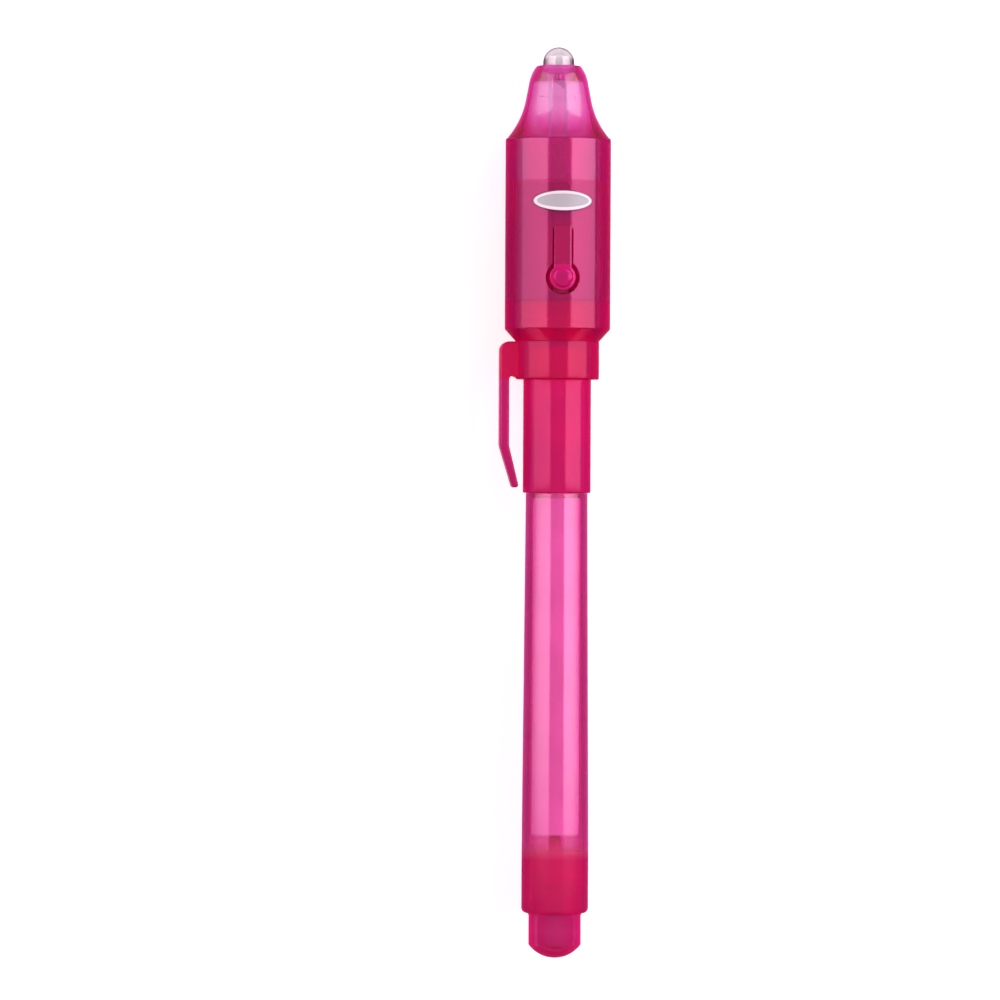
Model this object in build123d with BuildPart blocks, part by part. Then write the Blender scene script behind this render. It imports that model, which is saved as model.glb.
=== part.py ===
"""Felt-tip pen for invisible ink, with a UV lamp in its cap.

The pen lies along Y: lamp at +Y, tail at -Y, press button up at +Z, pocket clip at -X. Its axis is the
Y axis, and the origin is on that axis at the barrel's tail face. All sizes are in millimetres.
"""

import os

from build123d import *

os.makedirs("parts", exist_ok=True)

# Clearances between pieces
PRESS_GAP = 0.02  # round a pressed or glued piece
SLIDE_GAP = 0.06  # round a piece that pulls off by hand
PIVOT_GAP = 0.05  # round a knuckle or pin that turns

# Barrel
BARREL_LENGTH = 65.2  # tail face to the shoulder where the cap stops
BARREL_TAIL_R = 5.2
BARREL_FRONT_R = 4.8
BARREL_WALL = 0.9
BARREL_EDGE = 0.8  # rounding of the tail edge
TAIL_LENGTH = 9.6  # straight stretch at the tail, which takes the plug
NECK_LENGTH = 7.4
NECK_WALL = 0.85
NECK_STEP = 0.7  # from the reservoir's stop to the shoulder

# End plug
PLUG_R = 4.07
PLUG_STRAIGHT = 4.9  # from the barrel's tail face to the dome's rim
PLUG_DOME = 2.1
PLUG_WALL = 1.0
PLUG_BASE = 1.6  # thickness of the floor above the tail face
POST_R = 1.0
POST_RISE = 2.6  # post above the plug's open end
RIB_COUNT = 3
RIB_LENGTH = 1.2
RIB_HEIGHT = 0.12

# Ink reservoir and its wrap
WRAP_GAP = 0.1  # from the wrap to the barrel's narrowest bore
WRAP_WALL = 0.12

# Front section and nib
FRONT_SPIGOT = 6.4
FRONT_FLANGE = 1.2
FRONT_FLANGE_STEP = 0.25  # the flange is this much smaller in radius than the neck
FRONT_CONE = 6.2
FRONT_CONE_BASE_R = 3.5
FRONT_CONE_TIP_R = 1.8
NIB_R = 0.98
NIB_STANDOUT = 2.9
NIB_POINT = 1.9
NIB_TIP_R = 0.42
NIB_DIP = 6.0  # how far the nib reaches into the reservoir

# Cap sleeve with its collar and clip
SLEEVE_R = 5.27
SLEEVE_WALL = 0.9
SLEEVE_LENGTH = 17.6
SLEEVE_EDGE = 0.2
COLLAR_R = 6.5
COLLAR_LENGTH = 5.9
COLLAR_EDGE = 0.25
CHAMBER_DEPTH = 22.8  # from the cap's mouth to the deck over the nib
DECK = 1.3
CAP_SPIGOT = 3.5
CAP_SPIGOT_WALL = 1.2
CLIP_REACH = 9.0  # from the pen's axis to the clip's outer face
CLIP_WIDTH = 3.6
CLIP_THICK = 1.75
CLIP_TIP_THICK = 1.25
CLIP_TIP_ROUNDNESS = 0.45  # tip rounding as a share of its thickness
CLIP_STRAIGHT = 11.1  # from the pivot to the bend
CLIP_TAIL = 6.5  # from the bend to the tip
CLIP_LEAN = 1.7  # how far the tip leans in
CLIP_BEND_R = 3.0
CLIP_EDGE = 0.3
CLIP_CORNER = 1.4
CLIP_PIVOT_RISE = 0.8  # pivot above the collar's lower edge

# Lamp head
HEAD_R = 8.2
HEAD_WALL = 1.3
HEAD_LENGTH = 31.3  # collar to nose
HEAD_BEVEL = 1.9
HEAD_EDGE = 0.3
HEAD_FLOOR = 6.3  # collar to the ledge that carries the battery holder
SOCKET_R = 5.6  # hole for the cap's spigot

# Nose
NOSE_LENGTH = 11.5
NOSE_TIP_R = 3.45
NOSE_SHOULDER_R = 4.57
NOSE_SHOULDER_DROP = 2.5  # below the tip face
NOSE_WAIST_R = 5.1
NOSE_WAIST_DROP = 5.3
NOSE_TIP_EDGE = 0.25
NOSE_WALL = 0.7
NOSE_CROWN = 2.4  # thickness of the solid tip
NOSE_SPIGOT = 6.5
NOSE_SPIGOT_WALL = 1.3
LEAD_NOTCH_GAP = 0.1  # round the lamp's lead, where the spigot is notched for it
SNAP_GROOVE = 0.8  # width of the ring groove in the spigot
SNAP_GROOVE_DEPTH = 0.15
SNAP_GROOVE_DROP = 2.2  # groove's middle below the nose's base
BOSS_WALL = 0.5  # of the tube round the lamp

# UV lamp, a 5 mm LED
LED_R = 2.45
LED_HEIGHT = 8.6
LED_FLANGE_R = 2.9
LED_FLANGE = 1.0
LED_FLAT = 2.5  # from the axis to the flat that marks the cathode
LED_STANDOUT = 2.95
LEAD = 0.5
LEAD_PITCH = 2.54
LEAD_BEND = 0.8
ANVIL_RISE = 3.6  # base of the lamp to the cup's block
ANVIL_R = 0.6
ANVIL_HEIGHT = 0.7
CUP_R = 0.42
CUP_FLOOR_R = 0.28
CUP_DEPTH = 0.3
CHIP = 0.3
CHIP_HEIGHT = 0.15
ANODE_FOOT = 2.2  # length of the foot on the top cell

# Button cells, size LR41
CELL_R = 3.95
CELL_HEIGHT = 3.6
CELL_COUNT = 3
CELL_WALL = 0.25
CELL_CAP_R = 3.0
CELL_CAP_PROUD = 0.35

# Battery holder
HOLDER_FLOOR = 1.0
HOLDER_GAP = 0.5  # round the holder's body
HOLDER_FLANGE_GAP = 0.1
HOLDER_HEADROOM = 0.3  # under the nose's spigot
POCKET_GAP = 0.1
POCKET_SKIN = 0.45  # between the cells and the switch channel
CHANNEL_WIDTH = 3.2

# Contacts and switch leaf
STRIP_THICK = 0.25
STRIP_WIDTH = 2.4
RISER_HEIGHT = 4.2
CELL_SEAT_OVERLAP = 3.0  # contact under the cell, back from the axis
SWITCH_GAP = 0.65
LEAF_PIN_R = 0.3
LEAF_PIN_DROP = 1.7  # below the holder's top
LEAF_PIN_SEAT = 0.35  # how far each pin end enters the holder
LEAF_TAB = 1.3
LEAF_TAIL = 1.2  # leaf beyond the button's centre

# Press button on its spring tongue
PAD_RISE = 9.7  # collar to the pad's centre
PAD_R = 2.1
PAD_CAP_R = 1.6
PAD_RAISE = 0.6
PAD_EDGE = 0.3
TONGUE_LENGTH = 7.6  # pad's centre to the pivot
TONGUE_WIDTH = 2.4
TONGUE_THICK = 0.9
SLOT = 0.55  # open gap round the tongue
NUB_R = 0.8
NUB_EDGE = 0.3
NUB_GAP = 0.1

# Label
LABEL_RISE = 21.5  # collar to the label's centre
LABEL_WIDTH = 9.3
LABEL_HEIGHT = 3.3
LABEL_THICK = 0.12

# Stations along the axis
mouth_y = BARREL_LENGTH
collar_y = mouth_y + SLEEVE_LENGTH
head_y = collar_y + COLLAR_LENGTH
deck_y = mouth_y + CHAMBER_DEPTH
ledge_y = head_y + HEAD_FLOOR
nose_y = head_y + HEAD_LENGTH
spigot_y = nose_y - NOSE_SPIGOT
tip_y = nose_y + NOSE_LENGTH
crown_y = tip_y - NOSE_CROWN
led_top_y = tip_y + LED_STANDOUT
led_y = led_top_y - LED_HEIGHT
neck_y = mouth_y + NECK_LENGTH
stop_y = mouth_y - NECK_STEP
post_y = TAIL_LENGTH + POST_RISE
cone_y = neck_y + FRONT_FLANGE
cone_top_y = cone_y + FRONT_CONE
nib_y = cone_top_y + NIB_STANDOUT
holder_top_y = spigot_y - HOLDER_HEADROOM
seat_y = ledge_y + HOLDER_FLOOR
cells_y = seat_y + STRIP_THICK
cells_top_y = cells_y + CELL_COUNT * CELL_HEIGHT
pad_y = head_y + PAD_RISE
pivot_y = pad_y + TONGUE_LENGTH
leaf_pin_y = holder_top_y - LEAF_PIN_DROP
label_y = head_y + LABEL_RISE

# Radii and heights that follow from the sizes above
sleeve_bore_r = SLEEVE_R - SLEEVE_WALL
neck_r = sleeve_bore_r - SLIDE_GAP
neck_bore_r = neck_r - NECK_WALL
tail_bore_r = BARREL_TAIL_R - BARREL_WALL
front_bore_r = BARREL_FRONT_R - BARREL_WALL
wrap_r = front_bore_r - WRAP_GAP
head_bore_r = HEAD_R - HEAD_WALL
nose_spigot_r = head_bore_r - SLIDE_GAP
nose_bore_r = nose_spigot_r - NOSE_SPIGOT_WALL
lamp_hole_r = LED_R + SLIDE_GAP
holder_r = head_bore_r - HOLDER_GAP
pocket_r = CELL_R + POCKET_GAP
channel_z = pocket_r + POCKET_SKIN
leaf_z = channel_z + STRIP_THICK + SWITCH_GAP
leaf_mid_z = leaf_z + STRIP_THICK / 2
nub_z = leaf_z + STRIP_THICK + NUB_GAP
knuckle_r = TONGUE_THICK / 2
knuckle_z = HEAD_R - knuckle_r
lead_x = LEAD_PITCH / 2
lead_tip_z = leaf_z - PIVOT_GAP - LEAD / 2


# Barrel: a drafted tube with a reduced neck that the cap slides over
with BuildPart() as barrel:
    with BuildSketch():
        with BuildLine():
            Polyline(
                (tail_bore_r, 0),
                (BARREL_TAIL_R, 0),
                (BARREL_TAIL_R, TAIL_LENGTH),
                (BARREL_FRONT_R, mouth_y),
                (neck_r, mouth_y),
                (neck_r, neck_y),
                (neck_bore_r, neck_y),
                (neck_bore_r, stop_y),
                (front_bore_r, stop_y),
                (tail_bore_r, TAIL_LENGTH),
                close=True,
            )
        make_face()
    revolve(axis=Axis.Y)
    tail_edge = barrel.edges().filter_by(GeomType.CIRCLE).group_by(Axis.Y)[0].sort_by(SortBy.RADIUS)[-1]
    fillet(tail_edge, radius=BARREL_EDGE)
barrel.part.label = "barrel"
export_step(barrel.part, "parts/barrel.step")


# End plug: a ribbed cup pressed into the tail, with a domed end and a post that backs the reservoir
with BuildPart() as end_plug:
    shank_r = tail_bore_r - PRESS_GAP - RIB_HEIGHT
    with BuildSketch():
        with BuildLine():
            rim = (PLUG_R, -PLUG_STRAIGHT)
            dome_y = -PLUG_STRAIGHT - PLUG_DOME
            Polyline(
                rim,
                (PLUG_R, 0),
                (shank_r, 0),
                (shank_r, TAIL_LENGTH),
                (shank_r - PLUG_WALL, TAIL_LENGTH),
                (shank_r - PLUG_WALL, PLUG_BASE),
                (POST_R, PLUG_BASE),
                (POST_R, post_y - POST_R),
            )
            RadiusArc((POST_R, post_y - POST_R), (0, post_y), -POST_R)
            Line((0, post_y), (0, dome_y))
            dome_r = (PLUG_R**2 + PLUG_DOME**2) / (2 * PLUG_DOME)
            RadiusArc((0, dome_y), rim, -dome_r)
        make_face()
    revolve(axis=Axis.Y)
    rib_pitch = (TAIL_LENGTH - RIB_LENGTH) / (RIB_COUNT - 1)
    with BuildSketch():
        for rib in range(RIB_COUNT):
            with Locations((shank_r - PLUG_WALL / 2, rib * rib_pitch)):
                Rectangle(PLUG_WALL / 2 + RIB_HEIGHT, RIB_LENGTH, align=(Align.MIN, Align.MIN))
    revolve(axis=Axis.Y)
end_plug.part.label = "end_plug"
export_step(end_plug.part, "parts/end_plug.step")


# Ink reservoir: a fibre rod, pierced at the front for the nib
with BuildPart() as ink_reservoir:
    fibre_r = wrap_r - WRAP_WALL - PRESS_GAP
    with BuildSketch():
        with BuildLine():
            Polyline(
                (0, post_y),
                (fibre_r, post_y),
                (fibre_r, stop_y - WRAP_GAP),
                (NIB_R + PRESS_GAP, stop_y - WRAP_GAP),
                (NIB_R + PRESS_GAP, stop_y - NIB_DIP - PRESS_GAP),
                (0, stop_y - NIB_DIP - PRESS_GAP),
                close=True,
            )
        make_face()
    revolve(axis=Axis.Y)
ink_reservoir.part.label = "ink_reservoir"
export_step(ink_reservoir.part, "parts/ink_reservoir.step")


# Reservoir wrap: the thin plastic film round the fibre rod
with BuildPart() as reservoir_wrap:
    with BuildSketch():
        with Locations((wrap_r - WRAP_WALL, post_y)):
            Rectangle(WRAP_WALL, stop_y - WRAP_GAP - post_y, align=(Align.MIN, Align.MIN))
    revolve(axis=Axis.Y)
reservoir_wrap.part.label = "reservoir_wrap"
export_step(reservoir_wrap.part, "parts/reservoir_wrap.step")


# Front section: pressed into the barrel's neck, with a cone that holds the nib
with BuildPart() as front_section:
    spigot_r = neck_bore_r - PRESS_GAP
    nib_hole_r = NIB_R + PRESS_GAP
    with BuildSketch():
        with BuildLine():
            Polyline(
                (nib_hole_r, neck_y - FRONT_SPIGOT),
                (spigot_r, neck_y - FRONT_SPIGOT),
                (spigot_r, neck_y),
                (neck_r - FRONT_FLANGE_STEP, neck_y),
                (neck_r - FRONT_FLANGE_STEP, cone_y),
                (FRONT_CONE_BASE_R, cone_y),
                (FRONT_CONE_TIP_R, cone_top_y),
                (nib_hole_r, cone_top_y),
                close=True,
            )
        make_face()
    revolve(axis=Axis.Y)
front_section.part.label = "front_section"
export_step(front_section.part, "parts/front_section.step")


# Nib: a bonded fibre rod with a bullet point
with BuildPart() as nib:
    with BuildSketch():
        with BuildLine():
            Polyline(
                (0, nib_y - NIB_TIP_R),
                (0, stop_y - NIB_DIP),
                (NIB_R, stop_y - NIB_DIP),
                (NIB_R, nib_y - NIB_POINT),
                (NIB_TIP_R, nib_y - NIB_TIP_R),
                close=True,
            )
        make_face()
    revolve(axis=Axis.Y)
    with BuildSketch():
        with BuildLine():
            Polyline((NIB_TIP_R, nib_y - NIB_TIP_R), (0, nib_y - NIB_TIP_R), (0, nib_y))
            RadiusArc((0, nib_y), (NIB_TIP_R, nib_y - NIB_TIP_R), NIB_TIP_R)
        make_face()
    revolve(axis=Axis.Y)
nib.part.label = "nib"
export_step(nib.part, "parts/nib.step")


# Cap sleeve: the tube over the pen's front, its collar, the clip's foot and the spigot for the head
pivot_x = CLIP_THICK / 2 - CLIP_REACH
clip_pivot_y = collar_y + CLIP_PIVOT_RISE
clip_knuckle_r = CLIP_THICK / 2
with BuildPart() as cap_sleeve:
    with BuildSketch() as foot_side:
        with BuildLine():
            Polyline(
                (-sleeve_bore_r - SLEEVE_WALL, collar_y),
                (pivot_x + clip_knuckle_r, clip_pivot_y),
                (-CLIP_REACH, clip_pivot_y),
                (-CLIP_REACH, head_y),
                (-sleeve_bore_r - SLEEVE_WALL, head_y),
                close=True,
            )
        make_face()
        outer_corner = foot_side.vertices().group_by(Axis.Y)[-1].sort_by(Axis.X)[0]
        fillet(outer_corner, radius=CLIP_CORNER)
        with Locations((pivot_x, clip_pivot_y)):
            Circle(clip_knuckle_r + PIVOT_GAP, mode=Mode.SUBTRACT)
    extrude(amount=CLIP_WIDTH / 2, both=True)
    with BuildSketch():
        with BuildLine():
            Polyline(
                (0, mouth_y),
                (SLEEVE_R - SLEEVE_EDGE, mouth_y),
                (SLEEVE_R, mouth_y + SLEEVE_EDGE),
                (SLEEVE_R, collar_y),
                (COLLAR_R - COLLAR_EDGE, collar_y),
                (COLLAR_R, collar_y + COLLAR_EDGE),
                (COLLAR_R, head_y),
                (SOCKET_R - PRESS_GAP, head_y),
                (SOCKET_R - PRESS_GAP, head_y + CAP_SPIGOT),
                (0, head_y + CAP_SPIGOT),
                close=True,
            )
        make_face()
    revolve(axis=Axis.Y)
    with BuildSketch():
        with Locations((0, mouth_y)):
            Rectangle(sleeve_bore_r, CHAMBER_DEPTH, align=(Align.MIN, Align.MIN))
        with Locations((0, deck_y + DECK)):
            recess_r = SOCKET_R - PRESS_GAP - CAP_SPIGOT_WALL
            recess_depth = head_y + CAP_SPIGOT - deck_y - DECK
            Rectangle(recess_r, recess_depth, align=(Align.MIN, Align.MIN))
    revolve(axis=Axis.Y, mode=Mode.SUBTRACT)
cap_sleeve.part.label = "cap_sleeve"
export_step(cap_sleeve.part, "parts/cap_sleeve.step")


# Pocket clip: a straight arm with its tip bent in, rounded at the root where it flexes
with BuildPart() as pocket_clip:
    bend_y = clip_pivot_y - CLIP_STRAIGHT
    clip_tip_y = bend_y - CLIP_TAIL
    outer_tip_x = CLIP_LEAN - CLIP_REACH
    with BuildSketch() as clip_side:
        with BuildLine():
            Polyline(
                (pivot_x + clip_knuckle_r, clip_pivot_y),
                (pivot_x + clip_knuckle_r, bend_y),
                (outer_tip_x + CLIP_TIP_THICK, clip_tip_y),
                (outer_tip_x, clip_tip_y),
                (-CLIP_REACH, bend_y),
                (-CLIP_REACH, clip_pivot_y),
            )
            RadiusArc((-CLIP_REACH, clip_pivot_y), (pivot_x + clip_knuckle_r, clip_pivot_y), clip_knuckle_r)
        make_face()
        bend_corners = clip_side.vertices().filter_by_position(Axis.Y, bend_y, bend_y)
        fillet(bend_corners, radius=CLIP_BEND_R)
        tip_corners = clip_side.vertices().filter_by_position(Axis.Y, clip_tip_y, clip_tip_y)
        fillet(tip_corners, radius=CLIP_TIP_THICK * CLIP_TIP_ROUNDNESS)
    extrude(amount=CLIP_WIDTH / 2, both=True)
    rims = pocket_clip.faces().filter_by(Axis.Z).edges()
    fillet(rims, radius=CLIP_EDGE)
pocket_clip.part.label = "pocket_clip"
export_step(pocket_clip.part, "parts/pocket_clip.step")


# Head shell: the tube round the lamp's batteries, with a keyhole slot that frees the button's tongue
with BuildPart() as head_shell:
    with BuildSketch():
        with BuildLine():
            Polyline(
                (SOCKET_R, head_y),
                (COLLAR_R, head_y),
                (HEAD_R, head_y + HEAD_BEVEL),
                (HEAD_R, nose_y),
                (head_bore_r, nose_y),
                (head_bore_r, ledge_y),
                (SOCKET_R, ledge_y),
                close=True,
            )
        make_face()
    revolve(axis=Axis.Y)
    bevel_edge = head_shell.edges().filter_by_position(Axis.Y, head_y + HEAD_BEVEL, head_y + HEAD_BEVEL)
    fillet(bevel_edge, radius=HEAD_EDGE)
    with BuildSketch(Plane.XY.offset(nub_z)):
        with Locations((0, pad_y)):
            Circle(PAD_R + SLOT)
        with Locations((0, (pad_y + pivot_y) / 2)):
            Rectangle(TONGUE_WIDTH + 2 * SLOT, TONGUE_LENGTH)
    extrude(amount=HEAD_R, mode=Mode.SUBTRACT)
    with Locations(Location((0, pivot_y, knuckle_z), (0, 90, 0))):
        Cylinder(knuckle_r + PIVOT_GAP, TONGUE_WIDTH + 2 * PIVOT_GAP, mode=Mode.SUBTRACT)
head_shell.part.label = "head_shell"
export_step(head_shell.part, "parts/head_shell.step")


# Press button: a strip of the head's wall that bends at its root, with a pad outside and a nub inside
with BuildPart() as press_button:
    with BuildSketch(Plane.XY.offset(nub_z)):
        with Locations((0, pad_y)):
            Circle(PAD_R)
        with Locations((0, (pad_y + pivot_y) / 2)):
            Rectangle(TONGUE_WIDTH, TONGUE_LENGTH)
    extrude(amount=HEAD_R)
    with Locations(Location((0, pivot_y, knuckle_z), (0, 90, 0))):
        Cylinder(knuckle_r, TONGUE_WIDTH)
    with BuildSketch():
        with Locations((HEAD_R - TONGUE_THICK, pad_y - 2 * PAD_R)):
            Rectangle(TONGUE_THICK, TONGUE_LENGTH + 4 * PAD_R, align=(Align.MIN, Align.MIN))
    revolve(axis=Axis.Y, mode=Mode.INTERSECT)
    with BuildSketch(Plane.XY.offset(knuckle_z)):
        with Locations((0, pad_y)):
            Circle(PAD_CAP_R)
    extrude(amount=knuckle_r + PAD_RAISE)
    fillet(press_button.edges().group_by(Axis.Z)[-1], radius=PAD_EDGE)
    with BuildSketch(Plane.XY.offset(nub_z)):
        with Locations((0, pad_y)):
            Circle(NUB_R)
    extrude(amount=knuckle_z - nub_z)
    fillet(press_button.edges().group_by(Axis.Z)[0], radius=NUB_EDGE)
press_button.part.label = "press_button"
export_step(press_button.part, "parts/press_button.step")


# Label: a thin blank oval laid on the head
with BuildPart() as label_plate:
    with BuildSketch(Plane.XY.offset(head_bore_r)):
        with Locations((0, label_y)):
            Ellipse(LABEL_WIDTH / 2, LABEL_HEIGHT / 2)
    extrude(amount=HEAD_R)
    with BuildSketch():
        with Locations((HEAD_R, label_y - LABEL_HEIGHT)):
            Rectangle(LABEL_THICK, 2 * LABEL_HEIGHT, align=(Align.MIN, Align.MIN))
    revolve(axis=Axis.Y, mode=Mode.INTERSECT)
label_plate.part.label = "label_plate"
export_step(label_plate.part, "parts/label_plate.step")


# Nose: a flared cone with a spigot in the head and a tube that holds the lamp
with BuildPart() as nose_cone:
    shoulder = Vector(NOSE_SHOULDER_R, tip_y - NOSE_SHOULDER_DROP)
    waist = Vector(NOSE_WAIST_R, tip_y - NOSE_WAIST_DROP)
    side = shoulder - waist
    with BuildSketch():
        with BuildLine():
            Line(waist, shoulder)
            TangentArc(shoulder, (NOSE_TIP_R, tip_y), tangent=side)
            TangentArc(waist, (HEAD_R, nose_y), tangent=-side)
            Polyline((NOSE_TIP_R, tip_y), (0, tip_y), (0, nose_y), (HEAD_R, nose_y))
        make_face()
    revolve(axis=Axis.Y)
    fillet(nose_cone.edges().filter_by(GeomType.CIRCLE).group_by(Axis.Y)[-1], radius=NOSE_TIP_EDGE)
    with BuildSketch():
        with Locations((0, spigot_y)):
            Rectangle(nose_spigot_r, NOSE_SPIGOT, align=(Align.MIN, Align.MIN))
    revolve(axis=Axis.Y)
    boss_r = lamp_hole_r + BOSS_WALL
    boss_y = led_y + LED_FLANGE + PRESS_GAP
    with BuildSketch():
        with BuildLine():
            Polyline(
                (0, spigot_y),
                (nose_bore_r, spigot_y),
                (nose_bore_r, nose_y),
                (NOSE_WAIST_R - NOSE_WALL, tip_y - NOSE_WAIST_DROP),
                (NOSE_SHOULDER_R - NOSE_WALL, crown_y),
                (boss_r, crown_y),
                (boss_r, boss_y),
                (lamp_hole_r, boss_y),
                (lamp_hole_r, tip_y),
                (0, tip_y),
                close=True,
            )
        make_face()
        with Locations((nose_spigot_r, nose_y - SNAP_GROOVE_DROP)):
            Rectangle(2 * SNAP_GROOVE_DEPTH, SNAP_GROOVE)
    revolve(axis=Axis.Y, mode=Mode.SUBTRACT)
    notch_x = LEAD + 2 * LEAD_NOTCH_GAP
    with BuildSketch(Plane.XY.offset(lead_tip_z - LEAD / 2 - LEAD_NOTCH_GAP)):
        with Locations((lead_x, spigot_y)):
            Rectangle(notch_x, 4 * LEAD, align=(Align.CENTER, Align.MIN))
    extrude(amount=notch_x, mode=Mode.SUBTRACT)
nose_cone.part.label = "nose_cone"
export_step(nose_cone.part, "parts/nose_cone.step")


# Lamp cathode: the lead with the cup that holds the chip, bent forward to the switch leaf
anvil_y = led_y + ANVIL_RISE
with BuildPart() as led_cathode:
    jog_y = spigot_y + 2 * LEAD
    with BuildLine() as cathode_route:
        FilletPolyline(
            (lead_x, led_y, 0),
            (lead_x, jog_y + lead_tip_z / 2, 0),
            (lead_x, jog_y, lead_tip_z),
            (lead_x, holder_top_y - LEAF_TAB, lead_tip_z),
            radius=LEAD_BEND,
        )
    with BuildSketch(Plane(cathode_route.line @ 0, x_dir=(1, 0, 0), z_dir=cathode_route.line % 0)):
        Rectangle(LEAD, LEAD)
    sweep(path=cathode_route.line)
    with BuildSketch():
        with BuildLine():
            Polyline(
                (lead_x - LEAD / 2, led_y),
                (lead_x + LEAD / 2, led_y),
                (lead_x + LEAD / 2, anvil_y - LEAD),
                (ANVIL_R / 2, anvil_y + ANVIL_HEIGHT / 2),
                (-ANVIL_R / 2, anvil_y + ANVIL_HEIGHT / 2),
                (-ANVIL_R / 2, anvil_y - LEAD),
                (lead_x - LEAD / 2, anvil_y - 3 * LEAD),
                close=True,
            )
        make_face()
    extrude(amount=LEAD / 2, both=True)
    with BuildSketch(Plane.XZ.offset(-anvil_y)):
        Circle(ANVIL_R)
    extrude(amount=-ANVIL_HEIGHT)
    with BuildSketch():
        with BuildLine():
            cup_y = anvil_y + ANVIL_HEIGHT
            Polyline(
                (0, cup_y - CUP_DEPTH),
                (CUP_FLOOR_R, cup_y - CUP_DEPTH),
                (CUP_R, cup_y),
                (0, cup_y),
                close=True,
            )
        make_face()
    revolve(axis=Axis.Y, mode=Mode.SUBTRACT)
led_cathode.part.label = "led_cathode"
export_step(led_cathode.part, "parts/led_cathode.step")


# Lamp anode: the lead with a short post, bent into a foot on the top cell
with BuildPart() as led_anode:
    foot_y = cells_top_y + PIVOT_GAP + LEAD / 2
    with BuildLine() as anode_route:
        FilletPolyline(
            (-lead_x, led_y, 0),
            (-lead_x, foot_y, 0),
            (ANODE_FOOT - lead_x, foot_y, 0),
            radius=LEAD_BEND,
        )
    with BuildSketch(Plane(anode_route.line @ 0, x_dir=(1, 0, 0), z_dir=anode_route.line % 0)):
        Rectangle(LEAD, LEAD)
    sweep(path=anode_route.line)
    with BuildSketch():
        with BuildLine():
            post_top_y = anvil_y + ANVIL_HEIGHT
            Polyline(
                (-lead_x - LEAD / 2, led_y),
                (-lead_x + LEAD / 2, led_y),
                (-lead_x + LEAD / 2, post_top_y - LEAD),
                (-ANVIL_R - LEAD / 2, post_top_y),
                (-lead_x - LEAD / 2, post_top_y),
                close=True,
            )
        make_face()
    extrude(amount=LEAD / 2, both=True)
led_anode.part.label = "led_anode"
export_step(led_anode.part, "parts/led_anode.step")


# Lamp chip in the cathode's cup
with BuildPart() as led_chip:
    with Locations((0, anvil_y + ANVIL_HEIGHT - CUP_DEPTH, 0)):
        Box(CHIP, CHIP_HEIGHT, CHIP, align=(Align.CENTER, Align.MIN, Align.CENTER))
led_chip.part.label = "led_chip"
export_step(led_chip.part, "parts/led_chip.step")


# Lamp lens: clear epoxy cast round the leads and the chip, with a flanged foot
with BuildPart() as led_lens:
    with BuildSketch():
        with BuildLine():
            dome_start_y = led_top_y - LED_R
            Polyline(
                (0, led_top_y),
                (0, led_y),
                (LED_FLANGE_R, led_y),
                (LED_FLANGE_R, led_y + LED_FLANGE),
                (LED_R, led_y + LED_FLANGE),
                (LED_R, dome_start_y),
            )
            RadiusArc((LED_R, dome_start_y), (0, led_top_y), -LED_R)
        make_face()
    revolve(axis=Axis.Y)
    with Locations((LED_FLAT, led_y, 0)):
        Box(
            LED_FLANGE_R,
            LED_FLANGE,
            2 * LED_FLANGE_R,
            align=(Align.MIN, Align.MIN, Align.CENTER),
            mode=Mode.SUBTRACT,
        )
    add(led_cathode.part, mode=Mode.SUBTRACT)
    add(led_anode.part, mode=Mode.SUBTRACT)
    add(led_chip.part, mode=Mode.SUBTRACT)
led_lens.part.label = "led_lens"
export_step(led_lens.part, "parts/led_lens.step")


# Button cells, stacked with their caps towards the tail: steel cans, nylon seals and filled caps
can_bore_r = CELL_R - CELL_WALL
cell_feet = [cells_y + i * CELL_HEIGHT for i in range(CELL_COUNT)]
with BuildPart() as cell_cans:
    for foot in cell_feet:
        with BuildSketch():
            with Locations((0, foot + CELL_CAP_PROUD)):
                Rectangle(CELL_R, CELL_HEIGHT - CELL_CAP_PROUD, align=(Align.MIN, Align.MIN))
                Rectangle(
                    can_bore_r,
                    CELL_HEIGHT - CELL_CAP_PROUD - CELL_WALL,
                    align=(Align.MIN, Align.MIN),
                    mode=Mode.SUBTRACT,
                )
        revolve(axis=Axis.Y)
cell_cans.part.label = "cell_cans"
export_step(cell_cans.part, "parts/cell_cans.step")

with BuildPart() as cell_seals:
    for foot in cell_feet:
        with BuildSketch():
            with Locations((CELL_CAP_R, foot + CELL_CAP_PROUD)):
                seal_length = CELL_HEIGHT - CELL_CAP_PROUD - CELL_WALL
                Rectangle(can_bore_r - CELL_CAP_R, seal_length, align=(Align.MIN, Align.MIN))
        revolve(axis=Axis.Y)
cell_seals.part.label = "cell_seals"
export_step(cell_seals.part, "parts/cell_seals.step")

with BuildPart() as cell_caps:
    for foot in cell_feet:
        with BuildSketch():
            with Locations((0, foot)):
                Rectangle(CELL_CAP_R, CELL_HEIGHT - CELL_WALL, align=(Align.MIN, Align.MIN))
        revolve(axis=Axis.Y)
cell_caps.part.label = "cell_caps"
export_step(cell_caps.part, "parts/cell_caps.step")


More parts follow.
